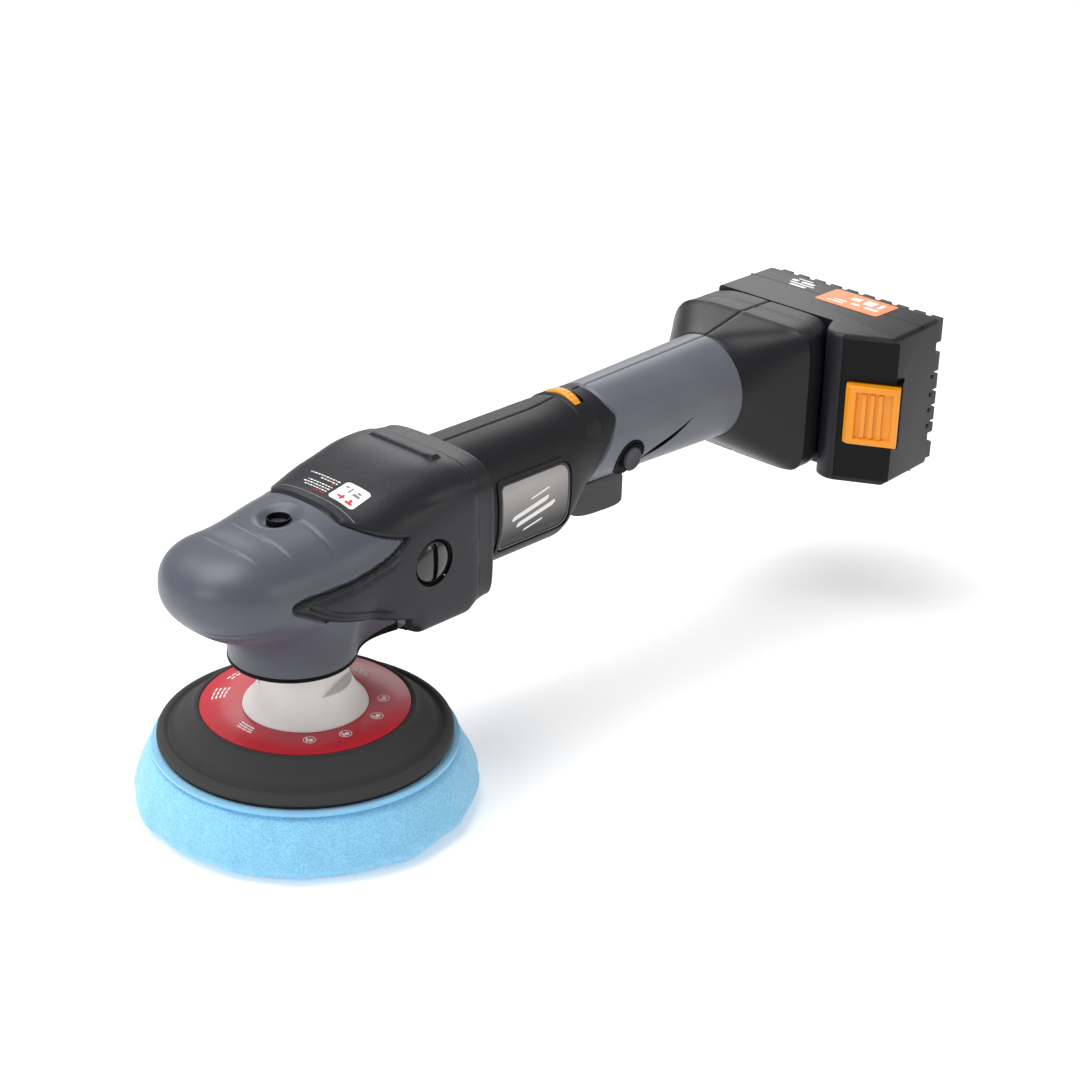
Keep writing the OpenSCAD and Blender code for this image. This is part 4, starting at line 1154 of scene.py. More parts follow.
    def _openings(self, shell: Thing, side: int) -> None:
        """Cut the slots for the dial, trigger, lock button and vent out of one shell."""
        wheel = [(0, -3.1), (self.dial_r + 0.1, -3.1), (self.dial_r + 0.1, 3.5), (0, 3.5)]
        Bench.cut(shell, Bench.lathe("dial_tool", wheel, self.dial, Axis.X, 64),
                  Bench.block("trigger_tool", (153.2, -10.2, 70), (197.8, 10.2, 103)))
        if side < 0:
            hole = [(0, 0), (7.2, 0), (7.2, 20), (0, 20)]
            Bench.cut(shell, Bench.lathe("lock_tool", hole, (self.lock[0], -32, self.lock[2]), Axis.Y, 48))
        outline = run_through([*self.vent[:4]], 5) + run_through([*self.vent[3:], self.vent[0]], 5)[1:-1]
        Bench.cut(shell,
                  Bench.side_plate("vent_tool", outline, -40 if side < 0 else 10, -10 if side < 0 else 40))

    def _badge(self, side: int, name: str) -> None:
        """Build one name plate: a raised frame, a metal window and a made-up mark."""
        x0, x1, z0, z1 = self.badge
        frame = self.side_card(f"badge_frame_{name}", (x0 - 1.6, x1 + 2.2, z0 - 2.2, z1 + 2.0), 0.75, side,
                               2.4, 3.2, True)
        Bench.cut(frame, Bench.side_plate("window_tool", self._window(0.4), side * 8 if side > 0 else -40,
                                          40 if side > 0 else -8))
        Bench.ease(frame, 0.35, 3, 40)
        Bench.fit(Bench.polish(frame, 40), Stock.GRIP, "tool", "soft_black")
        rim = self.side_card(f"badge_rim_{name}", (x0 + 0.3, x1 - 0.3, z0 + 0.3, z1 - 0.3), 0.35, side, 1.6,
                             2.6, True)
        Bench.cut(rim, Bench.side_plate("window_tool", self._window(-1.2), side * 8 if side > 0 else -40,
                                        40 if side > 0 else -8))
        Bench.fit(Bench.polish(rim, 40), Stock.CAP, "tool", "badge")
        plate = self.side_card(f"badge_{name}", (x0 + 0.9, x1 - 0.9, z0 + 0.9, z1 - 0.9), 0.15, side, 1.2,
                               2.2, True)
        Bench.fit(Bench.polish(plate, 40), Stock.BADGE, "tool", "badge", ["badge_plates"])
        marks = []
        for number, (start, end, low, tall) in enumerate(((116, 128, 112.6, 1.0), (104, 127, 107.6, 2.4),
                                                          (107, 131, 103.4, 2.4), (112, 124, 99.4, 1.0))):
            card = self.side_card(f"mark_{number}", (start, end, low, low + tall), 0.24, side, 0.2,
                                  tall * 0.45)
            marks.append(Bench.shift_points(card, lambda co, b=low: self._lean(co, b, side)))
        Bench.fit(Bench.polish(Bench.join(f"badge_mark_{name}", marks)), Stock.WHITE_INK, "tool", "badge")

    def _lean(self, co: Array, low: float, side: int) -> Array:
        """Slant a mark forwards and keep it on the plate's surface."""
        x = co[:, 0] + (co[:, 2] - low) * 0.5
        z = co[:, 2] + (co[:, 0] - 118) * 0.2
        skin = BodyForm.section(x, 0.24).side(z) - BodyForm.section(co[:, 0], 0.24).side(co[:, 2])
        return np.stack((x, co[:, 1] + side * skin, z), 1)

    def _window(self, grow: float) -> list[Pair]:
        """Outline of the badge's window in X and Z, larger by a margin."""
        x0, x1, z0, z1 = self.badge
        corners = ((x0 - grow, z0 - grow, 2.4, 180), (x1 + grow, z0 - grow, 5.4, 270),
                   (x1 + grow, z1 + grow, 5.4, 0), (x0 - grow, z1 + grow, 2.4, 90))
        outline = []
        for x, z, r, first in corners:
            cx, cz = x + (r if x < 110 else -r), z + (r if z < 108 else -r)
            for step in range(8):
                a = math.radians(first + step * 90 / 7)
                outline.append((cx + r * math.cos(a), cz + r * math.sin(a)))
        return outline

    def _controls(self) -> None:
        """Build the speed dial with its well, and the lock button with its collar."""
        r = self.dial_r - 0.7
        rim = [(2.6, -2.5), (r - 1.1, -2.5),
               *run_through([(r - 1.0, -2.5), (r - 0.25, -1.9), (r, -0.9), (r, 0.9),
                                                         (r - 0.25, 1.9), (r - 1.0, 2.5)], 3), (2.6, 2.5)]
        dial = Bench.lathe("speed_wheel", rim, (0, 0, 0), steps=144)
        Bench.shift_points(dial,
                           lambda co: co * (1 - 0.012 * np.clip(np.hypot(co[:, 0], co[:, 1]) - 13, 0,
                                                                2)[:, None]
                                                  * (np.cos(np.arctan2(co[:, 1], co[:, 0]) * 36)[:, None] > 0.8)))
        Bench.place(dial, self.dial, Axis.X.value)
        Bench.fit(Bench.polish(dial, 35), Stock.AMBER, "speed_dial", "orange", ["speed_dial"])
        well = [(10.5, -3.0), (18.0, -3.0), (18.0, -3.6), (10.5, -3.6)]
        front = Bench.lathe("dial_well", well, self.dial, Axis.X, 72)
        back = Bench.twin(front, "dial_well_back", (7.7, 0, 0))
        pair = Bench.join("dial_well", [front, back])
        trim = Bench.skin("well_trim", 30, 60, self._under_skin, (160, 0, 119))
        Bench.keep(pair, Bench.close(trim))
        Bench.fit(Bench.polish(pair), Stock.SHADE_BLACK, "tool", "soft_black")
        hood = Bench.skin("dial_hood", 40, 90, self._hood_law, (163, 0, 119))
        Bench.thicken(hood, 1.2)
        Bench.cut(hood,
                  Bench.lathe("slot_tool", [(0, -3.1), (r + 0.6, -3.1), (r + 0.6, 3.5), (0, 3.5)], self.dial,
                              Axis.X, 72))
        Bench.fit(Bench.polish(hood, 40), Stock.GRIP, "tool", "soft_black")
        face = [(0, 0.35), *run_through([(3.2, 0.3), (4.8, 0.1), (5.6, 0.5), (5.9, 1.3)], 4), (5.9, 9),
                (0, 9)]
        button = Bench.lathe("lock_button_cap", face, self.lock, Axis.Y, 64)
        Bench.fit(Bench.polish(button, 30), Stock.CONTROL, "lock_button", "button_grey", ["lock_button"])
        inner = [(6.1, 6.5), (6.1, 0.8), (6.5, -0.3), (7.1, -0.9), (7.5, -0.2), (7.9, -0.9), (8.7, -0.7),
                 (9.3, 0.3), (9.4, 6.5)]
        collar = Bench.lathe("lock_collar", inner, (self.lock[0], self.lock[1] + 0.2, self.lock[2]), Axis.Y,
                             64)
        Bench.shift_points(collar, self._hug)
        Bench.fit(Bench.polish(collar, 35), Stock.SHADE_BLACK, "tool", "soft_black")

    def _hug(self, co: Array) -> Array:
        """Lean the collar's outer rim back on to the barrel's curve."""
        skin = BodyForm.section(co[:, 0]).side(co[:, 2])
        reach = np.hypot(co[:, 0] - self.lock[0], co[:, 2] - self.lock[2])
        rise = np.interp(reach, (6.1, 6.5, 7.1, 7.5, 7.9, 8.7, 9.3), (-0.3, 0.5, 0.85, 0.1, 0.8, 0.55, -0.4))
        y = np.where((reach > 6.4) & (co[:, 1] < -22), -skin - rise, co[:, 1])
        return np.stack((co[:, 0], y, co[:, 2]), 1)

    @staticmethod
    def _hood_law(u: Array, v: Array) -> tuple[Array, Array, Array]:
        """A low swelling round the dial's slot."""
        x, angle = mix(156.4, 170.6, u), mix(0.25, math.pi - 0.25, v)
        edge = smooth(np.minimum(u, 1 - u) * 4.6) * smooth(np.minimum(v, 1 - v) * 6)
        y, z = BodyForm.section(x, -0.5 + 1.25 * edge).at(angle)
        return x, y, z

    @staticmethod
    def _under_skin(u: Array, v: Array) -> tuple[Array, Array, Array]:
        """A closed sleeve just under the handle's skin round the dial."""
        x = mix(150.0, 180.0, np.clip((u - 0.1) / 0.8, 0, 1))
        share = np.clip(np.minimum(u, 1 - u) * 10, 0, 1)
        y, z = BodyForm.section(x, -0.9).at(TURN * v)
        y, z = y * share, BodyForm.AXIS_Z + (z - BodyForm.AXIS_Z) * share
        return x, y, z

    def _trigger(self) -> None:
        """Build the trigger: a side outline with rounded edges and a hollowed finger face."""
        under = run_through([(156.4, 92), (158.5, 87.5), (164, 83.4), (172, 81.4), (182, 80.6), (190, 80.3),
                             (195, 80.9), (196.7, 82.8)], 3)
        outline = [*under, (196.8, 95), (193, 98), (160, 98.4), (156.8, 97.4)]
        trigger = Bench.side_plate("trigger_lever", outline, -9.5, 9.5)
        Bench.ease(trigger, 1.1, 3, 50)
        hollow = Bench.block("hollow_tool", (170, -7.5, 86), (192, 7.5, 106))
        pin = Bench.lathe("pin_tool", [(0, -20), (1.55, -20), (1.55, 20), (0, 20)], (160.5, 0, 95.5), Axis.Y,
                          32)
        Bench.cut(trigger, hollow, pin)
        Bench.fit(Bench.polish(trigger, 35), Stock.TRIGGER, "trigger", "dark_plastic", ["trigger"])
        axle = Bench.lathe("trigger_axle", [(0, -9.4), (1.5, -9.4), (1.5, 9.4), (0, 9.4)], (160.5, 0, 95.5),
                           Axis.Y, 32)
        Bench.fit(Bench.polish(axle), Stock.PIN, "tool", "steel", ["trigger_pin"])


@dataclass
class Foot:
    """The flared foot behind the barrel, in two halves, with the channel for the battery's rail."""

    rail_z: float = 113.0
    clear: float = 0.4

    def law(self, u: Array, v: Array, side: int) -> tuple[Array, Array, Array]:
        """One half's outer surface, from the barrel's collar to the flat rear face."""
        run = FootForm.END - FootForm.START
        x = np.minimum(FootForm.START + (run + 4) * u, FootForm.END)
        turn = np.clip((FootForm.START + (run + 4) * u - FootForm.END) / 4, 0, 1)
        gap = np.minimum(v, 1 - v) * 90
        lift = -0.45 * (1 - smooth(gap / 0.8)) - 0.9 * (1 - smooth((FootForm.END - x) / 1.2)) ** 2 \
            - 0.8 * (1 - smooth((x - FootForm.START) / 1.2)) + 0.25 * hump(x - FootForm.CREASE, 1.6) \
            - 0.3 * hump(x - FootForm.CORNER, 1.2)
        y, z = FootForm.section(x, side, lift).at(-QUARTER + math.pi * v)
        return x, side * np.maximum(y * (1 - turn), 0.02), self.rail_z + (z - self.rail_z) * (1 - turn)

    def build(self) -> None:
        """Build both halves and dress them."""
        for side, name in ((-1, "left"), (1, "right")):
            half = Bench.skin(f"foot_{name}_shell", 64, 120, lambda u, v, s=side: self.law(u, v, s),
                              (285, side * 10, 113))
            with Bench.editing(half, "EDGE"):
                bpy.ops.mesh.select_all(action="DESELECT")
                bpy.ops.mesh.select_non_manifold(extend=False)
                bpy.ops.mesh.edge_face_add()
            Bench.close(half)
            c = self.clear
            Bench.cut(half,
                      Bench.block("channel_tool", (304 - c, -60, self.rail_z - 13 - c),
                                  (308 + c, 20, self.rail_z + 13 + c)),
                      Bench.block("mouth_tool", (307, -60, self.rail_z - 9 - c),
                                  (318, 20, self.rail_z + 9 + c)))
            if side > 0:
                Bench.cut(half,
                          Bench.block("socket_tool", (303.6, 14, self.rail_z - 13.4),
                                      (308.4, 30, self.rail_z + 13.4)))
            Bench.fit(Bench.polish(half, 35), Stock.FOOT, "tool", "black_shell", [f"foot_{name}"])


@dataclass
class Pack:
    """The battery pack: case, ribbed back, labels and the amber release button."""

    low: float = 75.0
    high: float = 151.0
    split: float = 338.0
    back: float = 358.5
    front: float = 312.9
    far: float = 33.5
    rail_z: float = 113.0
    ribs: int = 10
    slots: tuple[float, ...] = (96.0, 104.3, 112.5, 122.0)
    notches: tuple[float, ...] = (87.6, 135.2)
    release: Pair = (307.7, -67.3)
    inward: Pair = (24.7, 14.1)
    shift: float = -1.5

    def _outline(self) -> list[Pair]:
        """Plan of the case in front of the split."""
        return [(self.split, self.far), (self.front, self.far), (self.front, -38.4), (301.4, -43.6),
                (299.8, -46.5), (299.2, -50.5), (300.2, -54.2),
                (312.5, -75.7), (self.split, -74.2)]

    def _back_outline(self) -> list[Pair]:
        """Plan of the back part behind the split."""
        return [(self.split, self.far), (self.split, -74.2), (351, -73.4), (353.6, -71.4), (354.8, -68),
                (354.8, 30.5),
                (353.6, self.far)]

    def build(self) -> None:
        """Build the pack's pieces and dress them."""
        case = Bench.plate("pack_case", self._outline(), self.low, self.high)
        Bench.ease_some(case, 1.6, 3, lambda m, w: abs(w[2]) > 0.9 and m[0] < 330 and m[1] < -56)
        Bench.ease_some(case, 2.2, 4,
                        lambda m, w: abs(w[2]) < 0.1 and abs(m[2] - 113) > 37.9 and m[0] < self.split - 0.1
                        and (m[1] < -44 or m[1] > 33))
        self._recess(case)
        rail = Bench.block("rail", (304.2, -36, self.rail_z - 12.6), (307.8, 19.6, self.rail_z + 12.6))
        web = Bench.block("web", (307, -36, self.rail_z - 8.6), (313.5, 19.6, self.rail_z + 8.6))
        for tool in (rail, web):
            Bench.ease(tool, 0.5, 2)
        Bench.cut(case, *(Bench.block("contact_tool", (303, 8.4, self.rail_z + i * 7 - 1.4),
                                      (314, 20, self.rail_z + i * 7 + 1.4)) for i in (-1, 0, 1)))
        case = Bench.join("pack_case", [case, rail, web])
        Bench.fit(Bench.polish(case, 32), Stock.PACK, "battery", "battery_black", ["battery_case"])
        self._back_part()
        self._labels()
        self._button()

    def _recess(self, case: Thing) -> None:
        """Let a full height dark panel into the diagonal face, with the button's pocket in it; the panel's extra
        darkness is painted shade.
        """
        angle = math.atan2(self.inward[1], self.inward[0])
        panel_tool = Bench.block("panel_tool", (-5, -12.2, 60), (1.0, 14.9, 170))
        pocket = Bench.block("pocket_tool", (-6, -15.2, 96.2), (9.4, 12.2, 127.8))
        for tool in (panel_tool, pocket):
            Bench.place(tool, (*self.release, 0), (0, 0, angle))
        Bench.cut(case, panel_tool, pocket)
        skin = Bench.block("pack_panel", (0.9, -12.1, self.low + 2.4), (2.0, 14.8, self.high - 2.4))
        Bench.cut(skin, Bench.block("pocket_tool", (-6, -15.2, 96.2), (9.4, 12.2, 127.8)))
        Bench.place(skin, (*self.release, 0), (0, 0, angle))
        Bench.fit(Bench.polish(skin), Stock.RECESS_SHADE, "battery", "battery_black")
        frame = [Bench.block("wall", (1.2, 13.0, 95.4), (9.2, 13.6, 128.6)),
                 Bench.block("wall", (1.2, -13.6, 95.4), (9.2, -13.1, 128.6)),
                 Bench.block("wall", (9.0, -13.6, 95.4), (9.6, 13.6, 128.6)),
                 Bench.block("wall", (1.0, -13.4, 95.5), (9.2, 13.4, 96.3)),
                 Bench.block("wall", (1.0, -13.4, 127.7), (9.2, 13.4, 128.5))]
        well = Bench.join("button_well", frame)
        Bench.place(well, (0, self.shift, 0))
        Bench.place(well, (*self.release, 0), (0, 0, angle))
        Bench.fit(Bench.polish(well), Stock.SHADE_BLACK, "battery", "battery_black")

    def _back_part(self) -> None:
        """Build the ribbed back with its corner slots."""
        back = Bench.plate("pack_back", self._back_outline(), self.low, self.high)
        Bench.ease_some(back, 2.2, 4,
                        lambda m, w: abs(w[2]) < 0.1 and abs(m[2] - 113) > 37.9 and m[0] > self.split + 0.1)
        rib = Bench.block("rib", (352, -71.8, self.low + 2.0), (self.back, -65.6, self.high - 0.7))
        Bench.ease_some(rib, 1.6, 4, lambda m, w: m[0] > self.back - 1)
        corner = Bench.twin(rib, "rib_corner")
        for piece in (back, corner):
            slots = [Bench.block("slot_tool", (348.5, -80, z - 1.1),
                                 (362, -66.2, z + 1.1)) for z in self.slots]
            slots += [Bench.block("slot_tool", (352, -80, z - 3), (362, -66.6, z + 3)) for z in self.notches]
            Bench.cut(piece, *slots)
        back = Bench.join("pack_back", [back, corner])
        pieces = [back] + [Bench.twin(rib, f"rib_{i}", (0, 10.3 * i, 0)) for i in range(1, self.ribs)]
        bpy.data.objects.remove(rib)
        back = Bench.join("pack_back", pieces)
        Bench.fit(Bench.polish(back, 32), Stock.PACK, "battery", "battery_black", ["battery_back"])
        seam = Bench.plate("pack_seam",
                           [(337.7, self.far - 0.25), (337.7, -73.95), (338.3, -73.95),
                            (338.3, self.far - 0.25)],
                           self.low + 0.25, self.high + 0.04)
        Bench.fit(Bench.polish(Bench.ease(seam, 0.1, 1)), Stock.SHADE_BLACK, "battery", "battery_black")

    def _card(self, name: str, low: Pair, high: Pair, lift: float, thick: float, corner: float) -> Thing:
        """Make a thin rounded card on the pack's top face."""
        card = Bench.block(name, (*low, self.high + lift), (*high, self.high + lift + thick))
        Bench.ease_some(card, corner, 5, lambda m, w: abs(w[2]) > 0.9)
        return card

    def _labels(self) -> None:
        """Lay the orange label with its made-up marks, and the small white mark, on the top face."""
        label = self._card("pack_label", (331.5, -50), (351, -12), 0.02, 0.2, 1.6)
        Bench.fit(Bench.polish(label), Stock.ORANGE_CARD, "battery", "orange_label", ["battery_label"])
        marks = [self._card(f"bar_{i}", (x0, y0), (x1, y1), 0.21, 0.06, 0.5)
                 for i, (x0, x1, y0, y1) in enumerate(((337, 339.4, -46, -38), (341.5, 347.6, -45, -42.6),
                                                       (341.5, 347.6, -40.2, -34), (337, 339.4, -35, -30),
                                                       (342.5, 346.6, -31.4, -26), (335, 336.2, -27, -17),
                                                       (337.8, 339, -27, -19)))]
        Bench.fit(Bench.polish(Bench.join("pack_label_marks", marks)), Stock.WHITE_INK, "battery",
                  "orange_label")
        spots = [self._card(f"dash_{i}", (x0, y0), (x1, y1), 0.02, 0.08, 0.5)
                 for i, (x0, x1, y0, y1) in enumerate(((339, 341, 0, 10), (342.4, 343.6, -3, 12), (345, 347.2, -1, 7),
                                                       (345, 347.2, 9, 13), (348.6, 349.6, 2, 11)))]
        Bench.fit(Bench.polish(Bench.join("pack_top_mark", spots)), Stock.WHITE_INK, "battery",
                  "battery_black")

    def _button(self) -> None:
        """Build the release button: bevelled flanks, a raised frame and upright finger ribs."""
        button = Bench.block("release_key", (-4.2, -13, 97), (5, 13, 127))
        Bench.ease_some(button, 2.2, 1, lambda m, w: m[0] < -4 and m[1] > 12)
        Bench.ease_some(button, 0.9, 3, lambda m, w: m[0] < -1 and m[1] < 12)
        with Bench.editing(button):
            Bench.pick(button, lambda m, n: n[0] < -0.99 and abs(m[1]) < 8)
            bpy.ops.mesh.inset(thickness=1.9 * MM, depth=0)
            bpy.ops.mesh.inset(thickness=0.9 * MM, depth=-1.9 * MM)
        ribs = []
        for number in range(3):
            rib = Bench.block(f"finger_{number}", (-3.5, -5.4 + number * 4.0, 100.6),
                              (-1.9, -3.0 + number * 4.0, 123.4))
            ribs.append(Bench.ease(rib, 0.45, 3))
        button = Bench.place(Bench.join("release_key", [button, *ribs]), (0, self.shift, 0))
        Bench.place(button, (*self.release, 0), (0, 0, math.atan2(self.inward[1], self.inward[0])))
        Bench.fit(Bench.polish(button, 32), Stock.AMBER, "release_button", "orange", ["release_button"])


@dataclass
class PolishingPad:
    """Everything that turns below the neck: hub, sticker, rubber plate and foam."""

    centre: Pair = (3.830, -3.214)
    plate_z: float = 31.0
    plate_r: float = 63.5
    foam_h: float = 28.0
    foam_r: float = 75.0
    icons: tuple[float, ...] = (-39.6, -66.4, -101.1, -128.3)
    words: tuple[tuple[float, float, int], ...] = ((178.2, 33, 3), (5.0, 35.8, 3), (123.5, 37.6, 4),
                                                   (98.3, 39.2, 2))

    def build(self) -> None:
        """Build the pad's pieces and dress them."""
        x, y = self.centre
        p, z = self.plate_r, self.plate_z
        rim = run_through([(p - 0.5, z + 0.1), (p, z + 0.8), (p, z + 2.6), (p - 0.5, z + 3.8),
                           (p - 1.8, z + 4.7),
                           (p - 3.2, z + 4.9), (p - 4.3, z + 4.2), (p - 5.2, z + 3.9), (p - 6.4, z + 4.7),
                           (p - 9, z + 7.4), (p - 13, z + 9.9), (p - 15.4, z + 12.0), (p - 16.4, z + 13.6),
                           (47.2, z + 14.2), (46.0, z + 14.3), (45.4, z + 13.9)], 3)
        plate = Bench.lathe("rubber_plate", [(9, z), *rim, (45.2, z + 13.6), (9, z + 13.6)], (x, y, 0),
                            steps=192)
        Bench.fit(Bench.polish(plate, 40), Stock.RUBBER, "pad", "plate_rubber", ["backing_plate"])
        ring = Bench.lathe("ring_sticker",
                           [(27.1, z + 13.5), (45.0, z + 13.5), (45.0, z + 14.1), (44.8, z + 14.2),
                                            (27.4, z + 14.2), (27.1, z + 14.1)], (x, y, 0), steps=160)
        Bench.fit(Bench.polish(ring, 40), Stock.RED_CARD, "pad", "red_label", ["label_ring"])
        self._ring_marks()
        self._hub()
        self._foam()

    def _ring_marks(self) -> None:
        """Set small round signs and short rows of bars on the sticker."""
        x, y = self.centre
        top = self.plate_z + 14.15
        sign = Bench.lathe("sign", [(2.45, 0), (2.75, 0), (2.75, 0.12), (2.45, 0.12)], (33.2, 0, top),
                           steps=40)
        dot = Bench.lathe("dot", [(0, 0), (1.1, 0), (1.1, 0.12), (0, 0.12)], (33.5, 0.5, top), steps=24)
        stem = Bench.ease(Bench.block("stem", (31.3, -1.5, top), (34.4, -0.7, top + 0.12)), 0.1, 1)
        sign = Bench.join("sign", [sign, dot, stem])
        bar = Bench.ease(Bench.block("bar", (33.1, -1.3, top), (33.8, 1.3, top + 0.12)), 0.05, 1)
        made = [Bench.twin(sign, f"sign_{i}", (x, y, 0), (0, 0, math.radians(a)))
                for i, a in enumerate(self.icons)]
        for number, (angle, radius, rows) in enumerate(self.words):
            for row in range(rows):
                for column in range(3):
                    a = math.radians(angle + (column - 1) * 5.2 + row * 1.3)
                    reach = radius - 33.6 + (row - (rows - 1) / 2) * 1.6
                    at = (x + reach * math.cos(a), y + reach * math.sin(a), 0)
                    made.append(Bench.twin(bar, f"bar_{number}_{row}_{column}", at, (0, 0, a)))
        for tool in (sign, bar):
            bpy.data.objects.remove(tool)
        Bench.fit(Bench.polish(Bench.join("ring_marks", made)), Stock.WHITE_INK, "pad", "red_label")

    def _hub(self) -> None:
        """Build the white hub with its two spanner flats."""
        x, y = self.centre
        z = self.plate_z + 14.2
        flank = run_through([(26.8, z + 0.5), (26.2, z + 1.6), (23.6, z + 4.5), (20.9, z + 9), (18.9, z + 14),
                             (18.0, z + 18),
                             (17.8, z + 19.6), (17.2, z + 20.5)], 4)
        hub = Bench.lathe("hub_body", [(0, z), (27, z), *flank, (16.6, z + 20.8), (0, z + 20.8)], (0, 0, 0),
                          steps=144)
        flats = [Bench.place(Bench.block("flat_tool", (14.6, -20, z + 11.5), (30, 20, z + 26)), (0, 0, 0),
                             (0, 0, math.radians(a)))
                 for a in (-68, 112)]
        Bench.cut(hub, *flats)
        Bench.ease(hub, 0.3, 2, 45)
        Bench.place(hub, (x, y, 0))
        Bench.fit(Bench.polish(hub, 30), Stock.HUB, "pad", "hub_white", ["pad_hub"])

    def foam_law(self, u: Array, v: Array) -> tuple[Array, Array, Array]:
        """The foam's surface: cut side, rolled lower edge, and the unevenness of open foam."""
        r, h = self.foam_r, self.foam_h
        profile = np.array([(0, 0), (r - 30, 0), (r - 10, 0),
                            *run_through([(r - 7, 0.05), (r - 3.6, 1.3), (r - 1.2, 3.8), (r, 8),
                            (r - 0.9, 13), (r - 3.2, 18.5), (r - 7, 24), (r - 10.4, h - 0.9), (r - 11.4, h)],
                            5),
                            (r - 16, h), (0, h)])
        steps = np.concatenate(([0], np.cumsum(np.hypot(*np.diff(profile, axis=0).T) ** 0.72)))
        t = v * steps[-1]
        radius, z = np.interp(t, steps, profile[:, 0]), np.interp(t, steps, profile[:, 1])
        a = TURN * u
        wave = (0.55 * np.sin(7 * a + 0.8) + 0.4 * np.sin(11 * a + 2.1) + 0.35 * np.sin(17 * a + 4.0)
                + 0.25 * np.sin(29 * a))
        edge = smooth((radius - r + 22) / 14) * smooth((h - 2 - z) / 10)
        radius = np.minimum(radius + wave * edge * 0.8 - 0.6 * edge, r)
        z = np.maximum(z + edge * (0.35 * np.sin(13 * a + 1.0) + 0.35) * (z < 6), 0)
        return self.centre[0] + radius * np.cos(a), self.centre[1] + radius * np.sin(a), z

    def _foam(self) -> None:
        """Build the foam, roughened by an even field of tiny dents."""
        foam = Bench.skin("foam_body", 400, 110, self.foam_law, (*self.centre, 14))
        Bench.close(foam)
        Bench.shift_points(foam, self._roughen)
        Bench.polish(foam, 60)
        Bench.fit(foam, Stock.FOAM, "pad", "foam", ["foam_pad"])

    def _roughen(self, co: Array) -> Array:
        """Push the foam's side in by a fine fixed noise."""
        out = co.copy()
        cx, cy = self.centre
        for point in out:
            x, y, z = point
            reach = math.hypot(x - cx, y - cy)
            if reach < self.foam_r - 20:
                continue
            coarse = noise.noise(Vector((x, y, z)) * 0.16) * 0.25
            fine = noise.noise(Vector((x, y, z)) * 0.75) * 0.16
            push = (coarse + fine - 0.25) / reach
            point[0], point[1] = x + (x - cx) * push, y + (y - cy) * push
        return out


@dataclass(frozen=True)
class Lamp:
    """One soft area light."""

    name: str
    at: Triple
    aim: Triple
    size: float
    power: float
    colour: Triple = (1.0, 1.0, 1.0)

    def build(self) -> None:
        """Hang the light and point it."""
        light = bpy.data.lights.new(self.name, "AREA")
        light.shape, light.size, light.energy, light.color = "SQUARE", self.size, self.power, self.colour
        thing = bpy.data.objects.new(self.name, light)
        bpy.context.scene.collection.objects.link(thing)
        thing.location = self.at
        thing.rotation_euler = (Vector(self.aim) - Vector(self.at)).to_track_quat("-Z", "Y").to_euler()


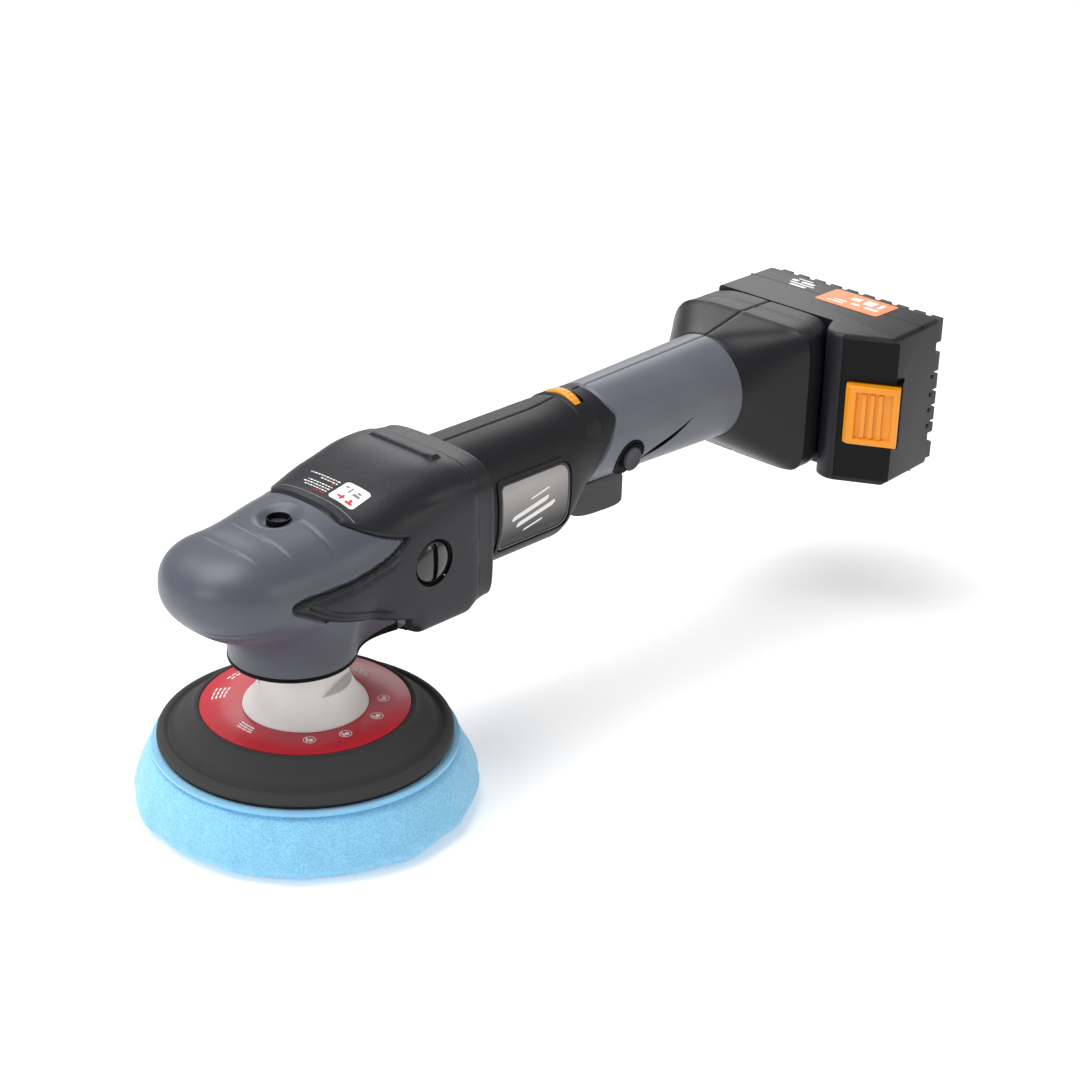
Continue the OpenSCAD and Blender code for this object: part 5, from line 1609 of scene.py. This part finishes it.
@dataclass
class Studio:
    """Floor, backdrop light, lamps and camera."""

    azimuth: float = -46.79
    elevation: float = 25.18
    roll: float = 1.5
    distance: float = 1.11105
    target: Triple = (0.15066, 0.0, 0.07263)
    lens: float = 80.0
    floor: float = 6.0
    lamps: tuple[Lamp, ...] = field(default_factory=lambda: (
        Lamp("overhead", (-0.25, 0.45, 1.5), (0.15, 0, 0.0), 1.2, 23),
        Lamp("left", (-1.4, 0.1, 0.75), (0.0, 0, 0.1), 0.7, 6),
        Lamp("near", (0.75, -1.35, 0.55), (0.15, 0, 0.1), 0.5, 3, (1.0, 0.95, 0.91)),
        Lamp("behind", (1.2, 1.0, 0.8), (0.25, 0, 0.1), 0.8, 5),
    ))

    def build(self) -> None:
        """Set the floor, the light and the camera."""
        Bench.focus()
        bpy.ops.mesh.primitive_plane_add(size=self.floor)
        floor = Bench.adopt("studio_floor")
        paper = Finish("floor_paper", "f7f7f8", 0.9, Grain.FLAT, 40, 0.0, uneven=0.0, specular=0.1).material()
        glow = next(n for n in paper.node_tree.nodes if n.type == "BSDF_PRINCIPLED")
        glow.inputs["Emission Color"].default_value = (1, 1, 1, 1)
        glow.inputs["Emission Strength"].default_value = 0.26
        floor.data.materials.append(paper)
        world = bpy.data.worlds.new("studio")
        world.use_nodes = True
        world.node_tree.nodes["Background"].inputs["Color"].default_value = (1, 1, 1, 1)
        world.node_tree.nodes["Background"].inputs["Strength"].default_value = 0.42
        bpy.context.scene.world = world
        bpy.context.scene.view_settings.view_transform = "Standard"
        for lamp in self.lamps:
            lamp.build()
        self._camera()

    def _camera(self) -> None:
        """Put the camera on its line of sight, with a slight roll."""
        az, el, roll = (math.radians(a) for a in (self.azimuth, self.elevation, self.roll))
        right = Vector((math.cos(az), math.sin(az), 0))
        back = Vector((math.sin(az) * math.cos(el), -math.cos(az) * math.cos(el), math.sin(el)))
        up = back.cross(right)
        leaned = right * math.cos(roll) + up * math.sin(roll), up * math.cos(roll) - right * math.sin(roll)
        data = bpy.data.cameras.new("camera")
        data.lens, data.sensor_width = self.lens, 36.0
        camera = bpy.data.objects.new("camera", data)
        bpy.context.scene.collection.objects.link(camera)
        turn = camera.matrix_world.to_3x3()
        turn.col[0], turn.col[1], turn.col[2] = *leaned, back
        camera.matrix_world = turn.to_4x4()
        camera.location = Vector(self.target) + back * self.distance
        bpy.context.scene.camera = camera


class InnerParts:
    """The parts inside the shells, which keep their CAD meshes and get their finishes by slot."""

    @staticmethod
    def dress() -> None:
        """Give each CAD node that still shows the finish of its material slot."""
        slots = {row["node"]: row["material_slot"] for row in frame["record"]["subparts"]}
        for name, node in frame["nodes"].items():
            if node.hide_render:
                continue
            finish = Stock.SLOTS.get(slots.get(name, ""), Stock.SLOTS["dark_plastic"])
            node.data.materials.clear()
            node.data.materials.append(finish.material())
            LOG.info("%s keeps its mesh in %s", name, finish.name)


def main() -> None:
    """Build the studio and the tool, piece by piece."""
    logging.basicConfig(level=logging.INFO, format="%(message)s")
    Studio().build()
    for part in (Head(), Handle(), Foot(), Pack(), PolishingPad()):
        LOG.info("building %s", type(part).__name__)
        part.build()
    InnerParts.dress()
    Bench.focus()


if __name__ == "__main__":
    main()
